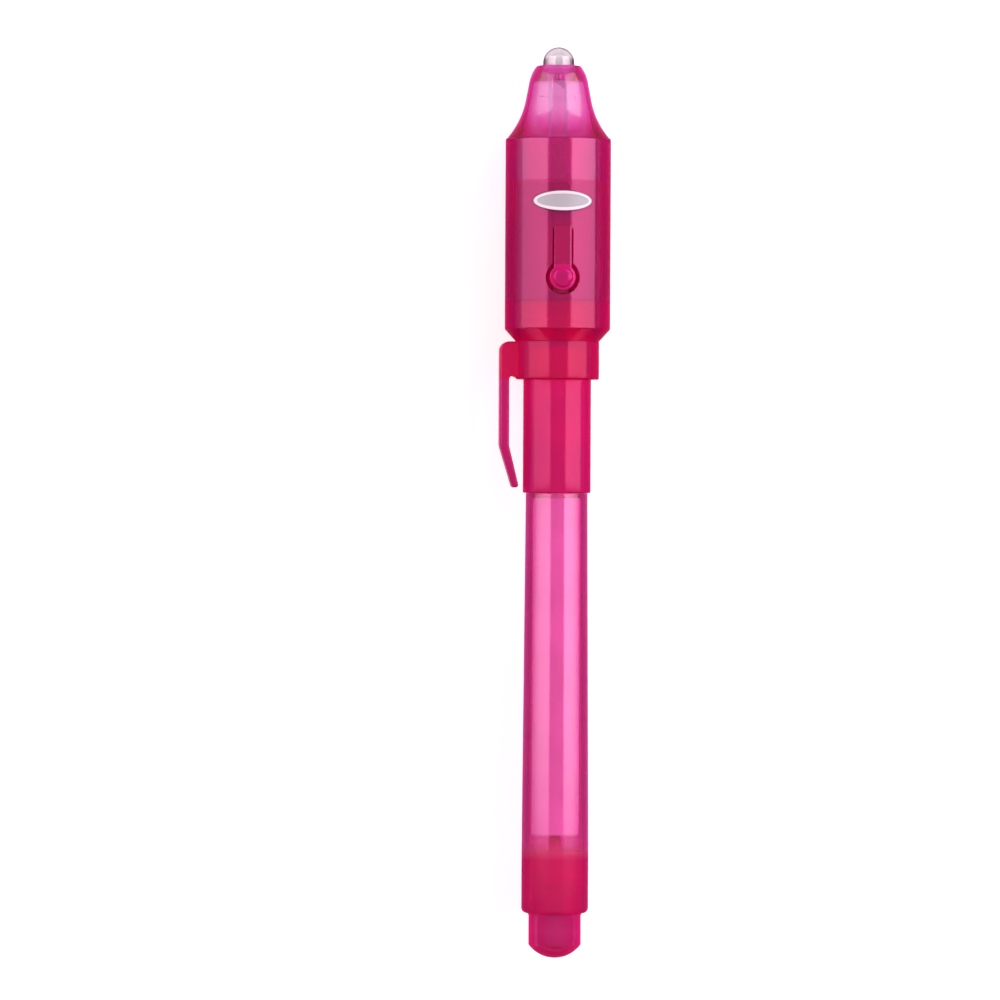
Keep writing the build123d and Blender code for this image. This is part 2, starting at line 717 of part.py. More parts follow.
# Battery holder: a cup for the cells, flanged where it stands on the ledge, with a channel for the switch
with BuildPart() as battery_holder:
    with BuildSketch():
        with BuildLine():
            Polyline(
                (0, ledge_y),
                (head_bore_r - HOLDER_FLANGE_GAP, ledge_y),
                (head_bore_r - HOLDER_FLANGE_GAP, seat_y),
                (holder_r, seat_y),
                (holder_r, holder_top_y),
                (pocket_r, holder_top_y),
                (pocket_r, seat_y),
                (0, seat_y),
                close=True,
            )
        make_face()
    revolve(axis=Axis.Y)
    with BuildSketch(Plane.XY.offset(channel_z)):
        with Locations((0, seat_y)):
            Rectangle(CHANNEL_WIDTH, holder_top_y - seat_y, align=(Align.CENTER, Align.MIN))
    extrude(amount=holder_r, mode=Mode.SUBTRACT)
    with BuildSketch(Plane.XY):
        with Locations((0, seat_y)):
            Rectangle(STRIP_WIDTH + 2 * PIVOT_GAP, 2 * STRIP_THICK, align=(Align.CENTER, Align.MIN))
    extrude(amount=channel_z, mode=Mode.SUBTRACT)
    with Locations(Location((0, leaf_pin_y, leaf_mid_z), (0, 90, 0))):
        pin_seat_length = CHANNEL_WIDTH + 2 * (LEAF_PIN_SEAT + PIVOT_GAP)
        Cylinder(LEAF_PIN_R + PIVOT_GAP, pin_seat_length, mode=Mode.SUBTRACT)
battery_holder.part.label = "battery_holder"
export_step(battery_holder.part, "parts/battery_holder.step")


# Negative contact: a strip under the bottom cell that turns up behind the switch leaf
with BuildPart() as negative_contact:
    contact_face_z = channel_z + STRIP_THICK
    with BuildSketch(Plane.YZ):
        with BuildLine():
            Polyline(
                (seat_y, -CELL_SEAT_OVERLAP),
                (cells_y, -CELL_SEAT_OVERLAP),
                (cells_y, channel_z),
                (seat_y + RISER_HEIGHT, channel_z),
                (seat_y + RISER_HEIGHT, contact_face_z),
                (seat_y, contact_face_z),
                close=True,
            )
        make_face()
    extrude(amount=STRIP_WIDTH / 2, both=True)
negative_contact.part.label = "negative_contact"
export_step(negative_contact.part, "parts/negative_contact.step")


# Switch leaf: a springy strip hung by a rolled pin from the holder, between the nub and the contact
with BuildPart() as switch_leaf:
    leaf_low_y = pad_y - LEAF_TAIL
    with BuildSketch(Plane.XY.offset(leaf_z)):
        with Locations((0, leaf_low_y)):
            Rectangle(STRIP_WIDTH, leaf_pin_y + LEAF_TAB - leaf_low_y, align=(Align.CENTER, Align.MIN))
    extrude(amount=STRIP_THICK)
    with Locations(Location((0, leaf_pin_y, leaf_mid_z), (0, 90, 0))):
        Cylinder(LEAF_PIN_R, CHANNEL_WIDTH + 2 * LEAF_PIN_SEAT)
switch_leaf.part.label = "switch_leaf"
export_step(switch_leaf.part, "parts/switch_leaf.step")
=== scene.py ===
"""Looks of a felt-tip pen for invisible ink with a UV lamp in its cap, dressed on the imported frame.

The pen lies along Y: lamp at +Y, press button up at +Z, pocket clip at -X, and its axis is the Y axis. Sizes
are in millimetres and turn into metres when a mesh is made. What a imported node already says, such as where it
starts and how wide it is, is read from the frame. The other sizes are fields of the class that builds the
piece.
"""

import logging
import math
from dataclasses import dataclass, replace
from enum import Enum
from typing import Iterable, Union

import bmesh
import bpy
import numpy as np
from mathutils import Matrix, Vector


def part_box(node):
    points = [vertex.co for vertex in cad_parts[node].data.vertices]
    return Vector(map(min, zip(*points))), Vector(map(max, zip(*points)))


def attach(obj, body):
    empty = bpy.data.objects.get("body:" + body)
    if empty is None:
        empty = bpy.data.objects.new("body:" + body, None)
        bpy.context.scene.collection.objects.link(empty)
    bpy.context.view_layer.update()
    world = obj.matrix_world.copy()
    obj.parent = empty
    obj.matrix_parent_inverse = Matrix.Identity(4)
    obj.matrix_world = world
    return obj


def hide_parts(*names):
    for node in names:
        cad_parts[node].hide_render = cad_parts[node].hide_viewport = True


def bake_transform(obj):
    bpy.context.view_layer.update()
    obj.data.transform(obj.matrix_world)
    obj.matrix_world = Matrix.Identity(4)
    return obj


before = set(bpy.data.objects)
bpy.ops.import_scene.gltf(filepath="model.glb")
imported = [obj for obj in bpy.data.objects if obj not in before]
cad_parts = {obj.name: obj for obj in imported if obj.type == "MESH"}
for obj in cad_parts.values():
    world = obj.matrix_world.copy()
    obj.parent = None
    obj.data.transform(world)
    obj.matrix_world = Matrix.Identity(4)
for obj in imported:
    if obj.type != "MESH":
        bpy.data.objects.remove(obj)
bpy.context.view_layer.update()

Array = np.ndarray
Pair = tuple[float, float]
Triple = tuple[float, float, float]
Colour = Triple
Corners = list[Triple]
Piece = bpy.types.Object
Material = bpy.types.Material
Socket = bpy.types.NodeSocket
Value = Union[float, tuple, Socket]
Sockets = dict[Union[str, int], Value]

LOG = logging.getLogger("pen")
MM = 0.001  # metres in a millimetre
SEAM = 0.015  # open seam left between two pieces that touch
OVERSHOOT = 1.0  # how far a cutting solid reaches past the piece
SEGMENTS = 160  # faces round a turned piece
SMALL_SEGMENTS = 96  # and round a small one
ARC_STEPS = 6  # faces across a rounded edge
LONG_ARC_STEPS = 24  # and along a wide arc
DISC_POINTS = 72  # points round a disc's edge
LONGEST_FACE = 2.5  # along a turned piece
SMOOTH_ANGLE = math.radians(38)
WELD = 1e-8  # metres within which points are one
SAME = 1e-6  # millimetres within which an outline's points are one
TINY = 1e-9  # stands in for nought as a divisor
NOISE_SPREAD = (0.3, 0.7)  # range in which most of a noise lies
SHINE_FADE = (0.25, 0.42)  # turn away from the eye, from 0 to 1, over which a shine fades


class Edge(float, Enum):
    """Roundings of moulded, turned and drawn edges, in millimetres."""

    SHARP = 0.0
    HAIR = 0.03
    CRISP = 0.05
    FINE = 0.08
    EASED = 0.1
    BROKEN = 0.12
    DULL = 0.14
    SOFT = 0.15
    ROUND = 0.2
    WIDE = 0.25
    FULL = 0.3
    DRAWN = 0.35
    DEEP = 0.4


class Join(Enum):
    """How one solid is worked into another."""

    ADD = "UNION"
    CUT = "DIFFERENCE"


class Body(Enum):
    """The frame's bodies that new pieces ride on."""

    PEN = "pen"
    CAP = "cap"
    NOSE = "nose"
    BUTTON = "button"
    CLIP = "clip"


@dataclass(frozen=True)
class Extent:
    """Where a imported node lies, in millimetres."""

    low: Array
    high: Array

    @classmethod
    def of(cls, node: str) -> "Extent":
        """Reads a node's box from the frame."""
        low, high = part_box(node)
        return cls(np.array(low) / MM, np.array(high) / MM)

    @property
    def start(self) -> float:
        """Lowest place along the pen."""
        return float(self.low[1])

    @property
    def end(self) -> float:
        """Highest place along the pen."""
        return float(self.high[1])

    @property
    def radius(self) -> float:
        """Reach from the pen's axis, up or down."""
        return float(max(-self.low[2], self.high[2]))


@dataclass
class Patch:
    """A grid of points, in millimetres, with a face between each four neighbours."""

    points: Array
    rows_close: bool = False
    columns_close: bool = True

    def quads(self) -> Array:
        """Joins each grid point to its next neighbours along both parameters.

        Returns:
            The corner numbers of every face, four in a row.
        """
        rows, columns = self.points.shape[:2]
        row = np.arange(rows if self.rows_close else rows - 1)[:, None]
        column = np.arange(columns if self.columns_close else columns - 1)[None, :]
        next_row = (row + 1) % rows
        next_column = (column + 1) % columns
        corners = [
            row * columns + column,
            next_row * columns + column,
            next_row * columns + next_column,
            row * columns + next_column,
        ]
        return np.stack(corners, axis=-1).reshape(-1, 4)


# Outlines and surfaces


def plain(points: Array) -> Array:
    """Points as corners that stay as sharp as they are."""
    return np.column_stack([points, np.zeros(len(points))])


def tangent_arc(start: Pair, along: Pair, end: Pair, steps: int = LONG_ARC_STEPS) -> Array:
    """Arc that leaves a point in a given direction and ends at another point.

    With t the unit direction, n its normal and c the chord, the radius is c.c / (2 c.n) and the arc turns
    through 2 atan2(c.n, c.t). A point at the turn a lies at start + radius (t sin a + n (1 - cos a)).

    Args:
        start: First point.
        along: Direction in which the arc leaves it.
        end: Last point.
        steps: Number of chords.

    Returns:
        The arc's points, one per row, both ends among them.
    """
    first = np.array(start, float)
    chord = np.array(end, float) - first
    t = np.array(along, float) / np.linalg.norm(along)
    n = np.array([-t[1], t[0]])
    radius = chord @ chord / (2 * chord @ n)
    turn = np.linspace(0, 2 * math.atan2(chord @ n, chord @ t), steps + 1)[:, None]
    return first + radius * (t * np.sin(turn) + n * (1 - np.cos(turn)))


def rounded(corners: Union[Corners, Array], steps: int = ARC_STEPS) -> Array:
    """Outline with an arc at each corner that has a radius.

    The sides at a corner meet at an angle 2h. The arc starts radius / tan h back along each side, its centre
    lies radius / sin h along the line that halves the angle, and its points turn evenly from side to side.

    Args:
        corners: Rows of two coordinates and a radius. The first and last of an open outline have no radius.
        steps: Number of chords in each arc.

    Returns:
        The outline's points, one per row, with none twice in a row.
    """
    table = np.array(corners, float)
    place, radius = table[:, :2], table[:, 2:]
    back = np.roll(place, 1, axis=0) - place
    ahead = np.roll(place, -1, axis=0) - place
    back /= np.linalg.norm(back, axis=1, keepdims=True)
    ahead /= np.linalg.norm(ahead, axis=1, keepdims=True)
    half = np.arccos(np.clip((back * ahead).sum(axis=1, keepdims=True), -1, 1)) / 2
    middle = back + ahead
    middle /= np.maximum(np.linalg.norm(middle, axis=1, keepdims=True), TINY)
    centre = place + middle * radius / np.sin(half)
    reach = radius / np.tan(half)
    turn = math.pi - 2 * half
    share = np.linspace(0, 1, steps + 1)[None, :]
    sine = np.maximum(np.sin(turn), TINY)
    from_start = (np.sin((1 - share) * turn) / sine)[..., None]
    from_end = (np.sin(share * turn) / sine)[..., None]
    first = (place + back * reach - centre)[:, None, :]
    last = (place + ahead * reach - centre)[:, None, :]
    points = (centre[:, None, :] + from_start * first + from_end * last).reshape(-1, 2)
    moved = np.linalg.norm(np.diff(points, axis=0), axis=1) > SAME
    return points[np.concatenate([[True], moved])]


def refined(points: Array, closed: bool, longest: float = LONGEST_FACE) -> Array:
    """Outline with points added on its longer sides.

    Each side is cut into the least number of equal parts that are no longer than the limit.

    Args:
        points: The outline, one point per row.
        closed: Whether its last point joins its first.
        longest: The longest part that is left.

    Returns:
        The finer outline.
    """
    ends = np.roll(points, -1, axis=0)
    starts = points
    if not closed:
        ends = ends[:-1]
        starts = points[:-1]
    sides = ends - starts
    count = np.maximum(np.ceil(np.linalg.norm(sides, axis=1) / longest).astype(int), 1)
    part = np.arange(count.sum()) - np.repeat(np.cumsum(count) - count, count)
    share = (part / np.repeat(count, count))[:, None]
    finer = np.repeat(starts, count, axis=0) + share * np.repeat(sides, count, axis=0)
    return finer if closed else np.vstack([finer, points[-1:]])


def lathe(profile: Union[Corners, Array], closed: bool = False, segments: int = SEGMENTS) -> Patch:
    """Surface turned about the pen's axis.

    The profile point (r, y), turned through the angle a, goes to (r cos a, y, r sin a).

    Args:
        profile: Corners of radius, place along the axis and rounding.
        closed: Whether the profile is a ring, as a tube's wall is. An open one starts and ends on the axis.
        segments: Faces round the axis.

    Returns:
        The turned surface.
    """
    line = refined(rounded(profile), closed)
    radius, along = line[:, :1], line[:, 1:]
    angle = np.linspace(0, 2 * math.pi, segments, endpoint=False)[None, :]
    points = np.stack([radius * np.cos(angle), along + 0 * angle, radius * np.sin(angle)], axis=-1)
    return Patch(points, rows_close=closed)


def stood_up(patch: Patch, place: float) -> Patch:
    """A turned surface that stands upright on the pen: (x, y, z) goes to (x, place - z, y).

    Args:
        patch: The surface, turned about the pen's axis.
        place: Place along the pen of its new axis.

    Returns:
        The moved surface.
    """
    x, along, z = np.moveaxis(patch.points, -1, 0)
    return Patch(np.stack([x, place - z, along], axis=-1), patch.rows_close, patch.columns_close)


def slab(outline: Array, low: float, high: float, rim: float = 0.0) -> tuple[Patch, list[Array]]:
    """Outline carried across Z, with rounded rims.

    At the height z the outline is set in along its normals by rim (1 - sin a), where a runs from 0 to 90
    degrees across each rim and z is rim (1 - cos a) from the end face, so that the section's corners are
    quarter rounds.

    Args:
        outline: Closed outline in X and Y, one point per row.
        low: Height of the lower end face.
        high: Height of the upper end face.
        rim: Radius of both rims.

    Returns:
        The side surface, and the rings that its two end faces fill.
    """
    ahead = np.roll(outline, -1, axis=0)
    tangent = ahead - np.roll(outline, 1, axis=0)
    normal = np.column_stack([tangent[:, 1], -tangent[:, 0]])
    normal /= np.linalg.norm(normal, axis=1, keepdims=True)
    area = (outline[:, 0] * ahead[:, 1] - outline[:, 1] * ahead[:, 0]).sum()
    normal *= math.copysign(1.0, area)
    angle = np.linspace(0, math.pi / 2, ARC_STEPS + 1 if rim else 1)
    inset = rim * (1 - np.sin(angle))
    rise = rim * (1 - np.cos(angle))
    insets = np.concatenate([inset, inset[::-1]])[:, None, None]
    heights = np.concatenate([low + rise, (high - rise)[::-1]])
    flat = outline[None] - insets * normal[None]
    z = np.broadcast_to(heights[:, None, None], flat.shape[:2] + (1,))
    side = np.concatenate([flat, z], axis=-1)
    return Patch(side), [side[0], side[-1]]


def tube(path: Array, radius: float, sides: int = 10) -> tuple[Patch, list[Array]]:
    """Round wire carried along a path that lies in the XY plane.

    Round each path point, the section is radius (n cos a + z sin a), with n the path's normal in the plane.

    Args:
        path: Points of X, Y and Z, one per row.
        radius: The wire's radius.
        sides: Faces round the wire.

    Returns:
        The wire's surface and the rings of its two ends.
    """
    tangent = np.gradient(path, axis=0)
    normal = np.column_stack([-tangent[:, 1], tangent[:, 0], 0 * tangent[:, 0]])
    normal /= np.linalg.norm(normal, axis=1, keepdims=True)
    angle = np.linspace(0, 2 * math.pi, sides, endpoint=False)[None, :, None]
    up = np.array([0.0, 0.0, 1.0])
    points = path[:, None] + radius * (normal[:, None] * np.cos(angle) + up * np.sin(angle))
    return Patch(points), [points[0], points[-1]]


def keyhole(centre: float, radius: float, half_width: float, end: Corners) -> Array:
    """Outline of a disc with a straight strip towards the lamp.

    The disc's arc runs clockwise below the strip, from the angle whose cosine is half_width / radius to its
    mirror.

    Args:
        centre: The disc's place along the pen.
        radius: The disc's radius.
        half_width: Half of the strip's width.
        end: Corners at the strip's far end, from -X to +X.

    Returns:
        The closed outline in X and Y, one point per row.
    """
    meet = math.acos(half_width / radius)
    angle = np.linspace(meet, -math.pi - meet, DISC_POINTS)
    arc = np.column_stack([radius * np.cos(angle), centre + radius * np.sin(angle)])
    return rounded(np.vstack([plain(arc), np.array(end, float)]))


# Pieces


def make_piece(name: str, patches: Iterable[Patch], rings: Iterable[Array] = ()) -> Piece:
    """One closed mesh made of patches and end faces.

    Args:
        name: The piece's name.
        patches: Surfaces that meet edge to edge, or closed ones that stand apart.
        rings: Point rings that are each filled with one face.

    Returns:
        The new object, at the origin, welded, with its faces outwards and its curved faces smooth.
    """
    points, faces, count = [], [], 0
    for patch in patches:
        points.append(patch.points.reshape(-1, 3))
        faces.extend((patch.quads() + count).tolist())
        count += len(points[-1])
    for ring in rings:
        points.append(ring)
        faces.append(list(range(count, count + len(ring))))
        count += len(ring)
    mesh = bpy.data.meshes.new(name)
    mesh.from_pydata((np.vstack(points) * MM).tolist(), [], faces)
    cleaner = bmesh.new()
    cleaner.from_mesh(mesh)
    bmesh.ops.remove_doubles(cleaner, verts=cleaner.verts, dist=WELD)
    bmesh.ops.recalc_face_normals(cleaner, faces=cleaner.faces)
    cleaner.to_mesh(mesh)
    cleaner.free()
    smooth(mesh)
    piece = bpy.data.objects.new(name, mesh)
    bpy.context.scene.collection.objects.link(piece)
    return piece


def smooth(mesh: bpy.types.Mesh) -> None:
    """Shades curved faces smoothly and keeps edges sharper than the limit.

    Args:
        mesh: The mesh that is shaded.
    """
    mesh.polygons.foreach_set("use_smooth", np.ones(len(mesh.polygons), bool))
    mesh.set_sharp_from_angle(angle=SMOOTH_ANGLE)
    mesh.update()


def combine(piece: Piece, tool: Piece, how: Join) -> None:
    """Adds a solid to a piece, or cuts it away.

    Args:
        piece: The piece that changes.
        tool: The solid, which is used up.
        how: Whether it is added or cut away.
    """
    modifier = piece.modifiers.new("combine", "BOOLEAN")
    modifier.object = tool
    modifier.operation = how.value
    modifier.solver = "EXACT"
    graph = bpy.context.evaluated_depsgraph_get()
    mesh = bpy.data.meshes.new_from_object(piece.evaluated_get(graph))
    piece.modifiers.clear()
    piece.data = mesh
    bpy.data.objects.remove(tool)
    smooth(mesh)


# Finishes


class Graph:
    """A new material's node tree, filled node by node."""

    def __init__(self, name: str) -> None:
        """Makes the material, with nothing in it but its output.

        Args:
            name: The material's name.
        """
        self.material = bpy.data.materials.new(name)
        self.material.use_nodes = True
        self.tree = self.material.node_tree
        self.tree.nodes.clear()
        self.output = self.add("ShaderNodeOutputMaterial")

    def add(self, kind: str, sockets: Union[Sockets, None] = None, **settings: object) -> bpy.types.Node:
        """New node.

        Args:
            kind: Blender's name for the node.
            sockets: Inputs by name or number, each with a value or with the output that feeds it.
            settings: The node's own options.

        Returns:
            The node.
        """
        node = self.tree.nodes.new(kind)
        for option, setting in settings.items():
            setattr(node, option, setting)
        for key, value in (sockets or {}).items():
            if isinstance(value, Socket):
                self.tree.links.new(value, node.inputs[key])
            else:
                node.inputs[key].default_value = value
        return node

    def coordinates(self) -> Socket:
        """Object coordinates, in metres."""
        return self.add("ShaderNodeTexCoord").outputs["Object"]

    def mapped(self, stretch: Triple, move: Triple = (0.0, 0.0, 0.0)) -> Socket:
        """Object coordinates, stretched along the axes and then moved."""
        sockets = {"Vector": self.coordinates(), "Scale": stretch, "Location": move}
        return self.add("ShaderNodeMapping", sockets).outputs["Vector"]

    def noise(self, grain: float, stretch: Triple = (1.0, 1.0, 1.0), detail: float = 3.0) -> Socket:
        """Noise whose lumps are about grain millimetres across."""
        sockets = {"Vector": self.mapped(stretch), "Scale": 1 / (grain * MM), "Detail": detail}
        return self.add("ShaderNodeTexNoise", sockets).outputs["Fac"]

    def scaled(self, source: Socket, spread: Pair, low: Value, high: Value) -> Socket:
        """Value carried from one range to another and held at its ends.

        Args:
            source: The value.
            spread: The range that it comes from.
            low: What the range's start becomes.
            high: What the range's end becomes.

        Returns:
            The new value.
        """
        sockets: Sockets = {"Value": source, "From Min": spread[0], "From Max": spread[1]}
        sockets |= {"To Min": low, "To Max": high}
        return self.add("ShaderNodeMapRange", sockets).outputs["Result"]

    def ranged(self, source: Socket, low: float, high: float) -> Socket:
        """Noise taken from its usual spread to another range."""
        return self.scaled(source, NOISE_SPREAD, low, high)

    def shades(self, source: Socket, dark: Colour, light: Colour) -> Socket:
        """Colour between two shades, by a noise.

        Args:
            source: The noise.
            dark: The shade where it is low.
            light: The shade where it is high.

        Returns:
            The colour.
        """
        ramp = self.add("ShaderNodeValToRGB", {"Fac": source})
        for stop, position, shade in zip(ramp.color_ramp.elements, NOISE_SPREAD, (dark, light)):
            stop.position = position
            stop.color = (*shade, 1.0)
        return ramp.outputs["Color"]

    def fading(self, strength: Value, fade: Pair) -> Value:
        """Strength of a shine that fades where the surface is seen edge-on.

        Args:
            strength: The shine where the surface faces the eye.
            fade: Turn away from the eye, from 0 to 1, where the fading starts and where it ends.

        Returns:
            The strength, which stays a plain number where there is no shine.
        """
        if strength == 0.0:
            return strength
        facing = self.add("ShaderNodeLayerWeight").outputs["Facing"]
        return self.scaled(facing, fade, strength, 0.0)

    def stepped(self, place: float, soft: float, before: Value, after: Value) -> Value:
        """Value that changes along the pen.

        Args:
            place: Middle of the change along the pen.
            soft: Half of the length over which it changes.
            before: The value below it.
            after: The value above it.

        Returns:
            The value, which stays a plain number where both are the same.
        """
        if before == after:
            return after
        along = self.add("ShaderNodeSeparateXYZ", {"Vector": self.coordinates()}).outputs["Y"]
        return self.scaled(along, ((place - soft) * MM, (place + soft) * MM), before, after)

    def mixed(self, share: Value, first: Value, second: Value) -> Socket:
        """Colour between two others, the second one where the share is 1."""
        sockets = {0: share, 6: first, 7: second}
        return self.add("ShaderNodeMix", sockets, data_type="RGBA").outputs[2]

    def bump(self, height: Socket, depth: float, under: Union[Socket, None] = None) -> Socket:
        """Normal of a surface that is moved in and out.

        Args:
            height: How far each point is moved, from 0 to 1.
            depth: Millimetres that it is moved by where the height is 1.
            under: The normal of another bump that lies below this one.

        Returns:
            The normal.
        """
        sockets = {"Height": height, "Strength": 1.0, "Distance": depth * MM}
        if under is not None:
            sockets["Normal"] = under
        return self.add("ShaderNodeBump", sockets).outputs["Normal"]

    def surface(self, sockets: Sockets) -> Socket:
        """Shader of a surface with the given inputs."""
        return self.add("ShaderNodeBsdfPrincipled", sockets).outputs["BSDF"]

    def close(self, shader: Socket) -> Material:
        """Joins the shader to the output and hands over the material."""
        self.tree.links.new(shader, self.output.inputs["Surface"])
        return self.material

    def dyed(self, sockets: Sockets, loss: Colour) -> Material:
        """Closes the tree with a clear, dyed body that lets the lamps' light in to what lies inside.

        Args:
            sockets: Inputs of its surface.
            loss: Shares of red, green and blue that the body swallows per metre.

        Returns:
            The material.
        """
        spare = 1.05  # keeps every share of the dye's colour above nought
        density = max(loss) * spare
        colour = tuple(1 - share / density for share in loss)
        dye = self.add("ShaderNodeVolumeAbsorption", {"Color": (*colour, 1.0), "Density": density})
        self.tree.links.new(dye.outputs["Volume"], self.output.inputs["Volume"])
        shadow = self.add("ShaderNodeLightPath").outputs["Is Shadow Ray"]
        open_air = self.add("ShaderNodeBsdfTransparent").outputs["BSDF"]
        both = self.add("ShaderNodeMixShader", {0: shadow, 1: self.surface(sockets), 2: open_air})
        return self.close(both.outputs["Shader"])


@dataclass(frozen=True)
class Zone:
    """How the surface of a lower stretch of a moulded piece differs from the rest."""

    tint: Colour
    clear: float
    shine: float
    soft: float = 0.05  # half of the length over which the surface changes


@dataclass(frozen=True)
class TintedPlastic:
    """Moulded plastic dyed in the mass: light loses colour with every millimetre that it passes.

    The dye makes it a little cloudy, so part of the light comes back from the surface in the plastic's own
    colour.
    """

    name: str
    tint: Colour
    clear: float  # share of the light that passes a surface without being scattered
    loss: Colour = (110.0, 1000.0, 440.0)  # share of red, green and blue lost per metre
    bend: float = 1.02  # refraction, low because the cloudy walls hardly act as lenses
    pearl: float = 0.06  # strength of a shine in the plastic's own colour
    shine: float = 0.03  # strength of a white shine
    shine_bend: float = 3.0  # refraction that sets how much that shine mirrors
    shine_blur: float = 0.12
    gloss: Pair = (0.10, 0.15)  # roughness from its smoothest to its dullest spots
    wave: float = 0.012  # depth of the mould's slow waves
    wave_length: float = 9.0
    wave_dark: float = 0.92  # what is left of the tint in the waves' valleys
    line: float = 0.35  # width of the draw lines
    line_stretch: Triple = (1.0, 0.04, 1.0)  # draws them out along the pen
    line_depth: float = 0.0001
    fade: Pair = SHINE_FADE
    zones: tuple[tuple[float, Zone], ...] = ()  # stretches that differ, each with its upper end along the pen
    slot: str = "pink_clear"

    def material(self) -> Material:
        """Clear, dyed body with slow mould waves and fine draw lines along the pen.

        Returns:
            The new material.
        """
        graph = Graph(self.name)
        waves = graph.noise(self.wave_length, detail=1.0)
        lines = graph.noise(self.line, self.line_stretch)
        tint: Value = self.shaded(graph, waves, self.tint)
        clear: Value = self.clear
        shine: Value = self.shine
        for end, zone in self.zones:
            above = graph.stepped(end, zone.soft, 0.0, 1.0)
            tint = graph.mixed(above, self.shaded(graph, waves, zone.tint), tint)
            clear = graph.stepped(end, zone.soft, zone.clear, clear)
            shine = graph.stepped(end, zone.soft, zone.shine, shine)
        sockets = {
            "Base Color": tint,
            "Roughness": graph.ranged(lines, *self.gloss),
            "Metallic": graph.fading(self.pearl, self.fade),
            "IOR": self.bend,
            "Transmission Weight": clear,
            "Coat Weight": graph.fading(shine, self.fade),
            "Coat Roughness": self.shine_blur,
            "Coat IOR": self.shine_bend,
            "Normal": graph.bump(lines, self.line_depth, graph.bump(waves, self.wave)),
        }
        return graph.dyed(sockets, self.loss)

    def shaded(self, graph: Graph, waves: Socket, tint: Colour) -> Socket:
        """A tint that is a little darker in the waves' valleys."""
        return graph.shades(waves, tuple(self.wave_dark * share for share in tint), tint)


@dataclass(frozen=True)
class BondedFibre:
    """White polyester fibres laid along the pen and bonded."""

    name: str
    dark: Colour = (0.80, 0.77, 0.79)
    light: Colour = (0.95, 0.93, 0.94)
    gloss: Pair = (0.7, 0.9)
    fibre: float = 0.12  # width of a fibre
    fibre_stretch: Triple = (1.0, 0.03, 1.0)
    fibre_depth: float = 0.03
    tuft: float = 2.2  # width of a loose tuft
    tuft_stretch: Triple = (1.0, 0.35, 1.0)
    pale: float = 0.25  # moves fibres and tufts towards the light shade
    slot: str = "white_fibre"

    def material(self) -> Material:
        """Matt body with fine fibres in loose tufts, whose shade follows fibre times tuft.

        Returns:
            The new material.
        """
        graph = Graph(self.name)
        fibres = graph.noise(self.fibre, self.fibre_stretch, detail=2.0)
        tufts = graph.noise(self.tuft, self.tuft_stretch)
        both = graph.add("ShaderNodeMath", {0: fibres, 1: tufts, 2: self.pale}, operation="MULTIPLY_ADD")
        sockets = {
            "Base Color": graph.shades(both.outputs["Value"], self.dark, self.light),
            "Roughness": graph.ranged(tufts, *self.gloss),
            "Normal": graph.bump(fibres, self.fibre_depth),
        }
        return graph.close(graph.surface(sockets))


@dataclass(frozen=True)
class ClearFilm:
    """Thin clear film, faintly creased."""

    name: str
    tint: Colour = (0.96, 0.95, 0.97)
    cover: float = 0.16  # share of the light that it holds back
    gloss: Pair = (0.12, 0.25)
    crease: float = 1.4  # width of a crease
    crease_stretch: Triple = (1.0, 0.15, 1.0)
    crease_depth: float = 0.02
    slot: str = "clear_film"

    def material(self) -> Material:
        """Mostly open surface with a soft shine and shallow creases along the pen.

        Returns:
            The new material.
        """
        graph = Graph(self.name)
        creases = graph.noise(self.crease, self.crease_stretch, detail=2.0)
        sockets = {
            "Base Color": (*self.tint, 1.0),
            "Roughness": graph.ranged(creases, *self.gloss),
            "Alpha": self.cover,
            "Normal": graph.bump(creases, self.crease_depth),
        }
        return graph.close(graph.surface(sockets))


@dataclass(frozen=True)
class MattPart:
    """Small opaque part with a fine grain."""

    name: str
    slot: str
    dark: Colour
    light: Colour
    gloss: Pair = (0.4, 0.6)
    stretch: Triple = (1.0, 1.0, 1.0)
    grain: float = 0.12
    grain_depth: float = 0.004
    cloud: float = 0.7  # width of its lighter and darker spots
    metal: float = 0.0  # 1 for a metal

    def material(self) -> Material:
        """Two close shades and a fine grain.

        Returns:
            The new material.
        """
        graph = Graph(self.name)
        grain = graph.noise(self.grain, self.stretch)
        sockets = {
            "Base Color": graph.shades(graph.noise(self.cloud), self.dark, self.light),
            "Metallic": self.metal,
            "Roughness": graph.ranged(grain, *self.gloss),
            "Normal": graph.bump(grain, self.grain_depth),
        }
        return graph.close(graph.surface(sockets))


@dataclass(frozen=True)
class PlatedMetal(MattPart):
    """Rolled or drawn sheet metal with a bright, slightly cloudy plate."""

    gloss: Pair = (0.22, 0.36)
    stretch: Triple = (1.0, 0.05, 1.0)  # draws the grain out along the rolling
    grain: float = 0.1
    grain_depth: float = 0.002
    cloud: float = 1.6
    metal: float = 1.0


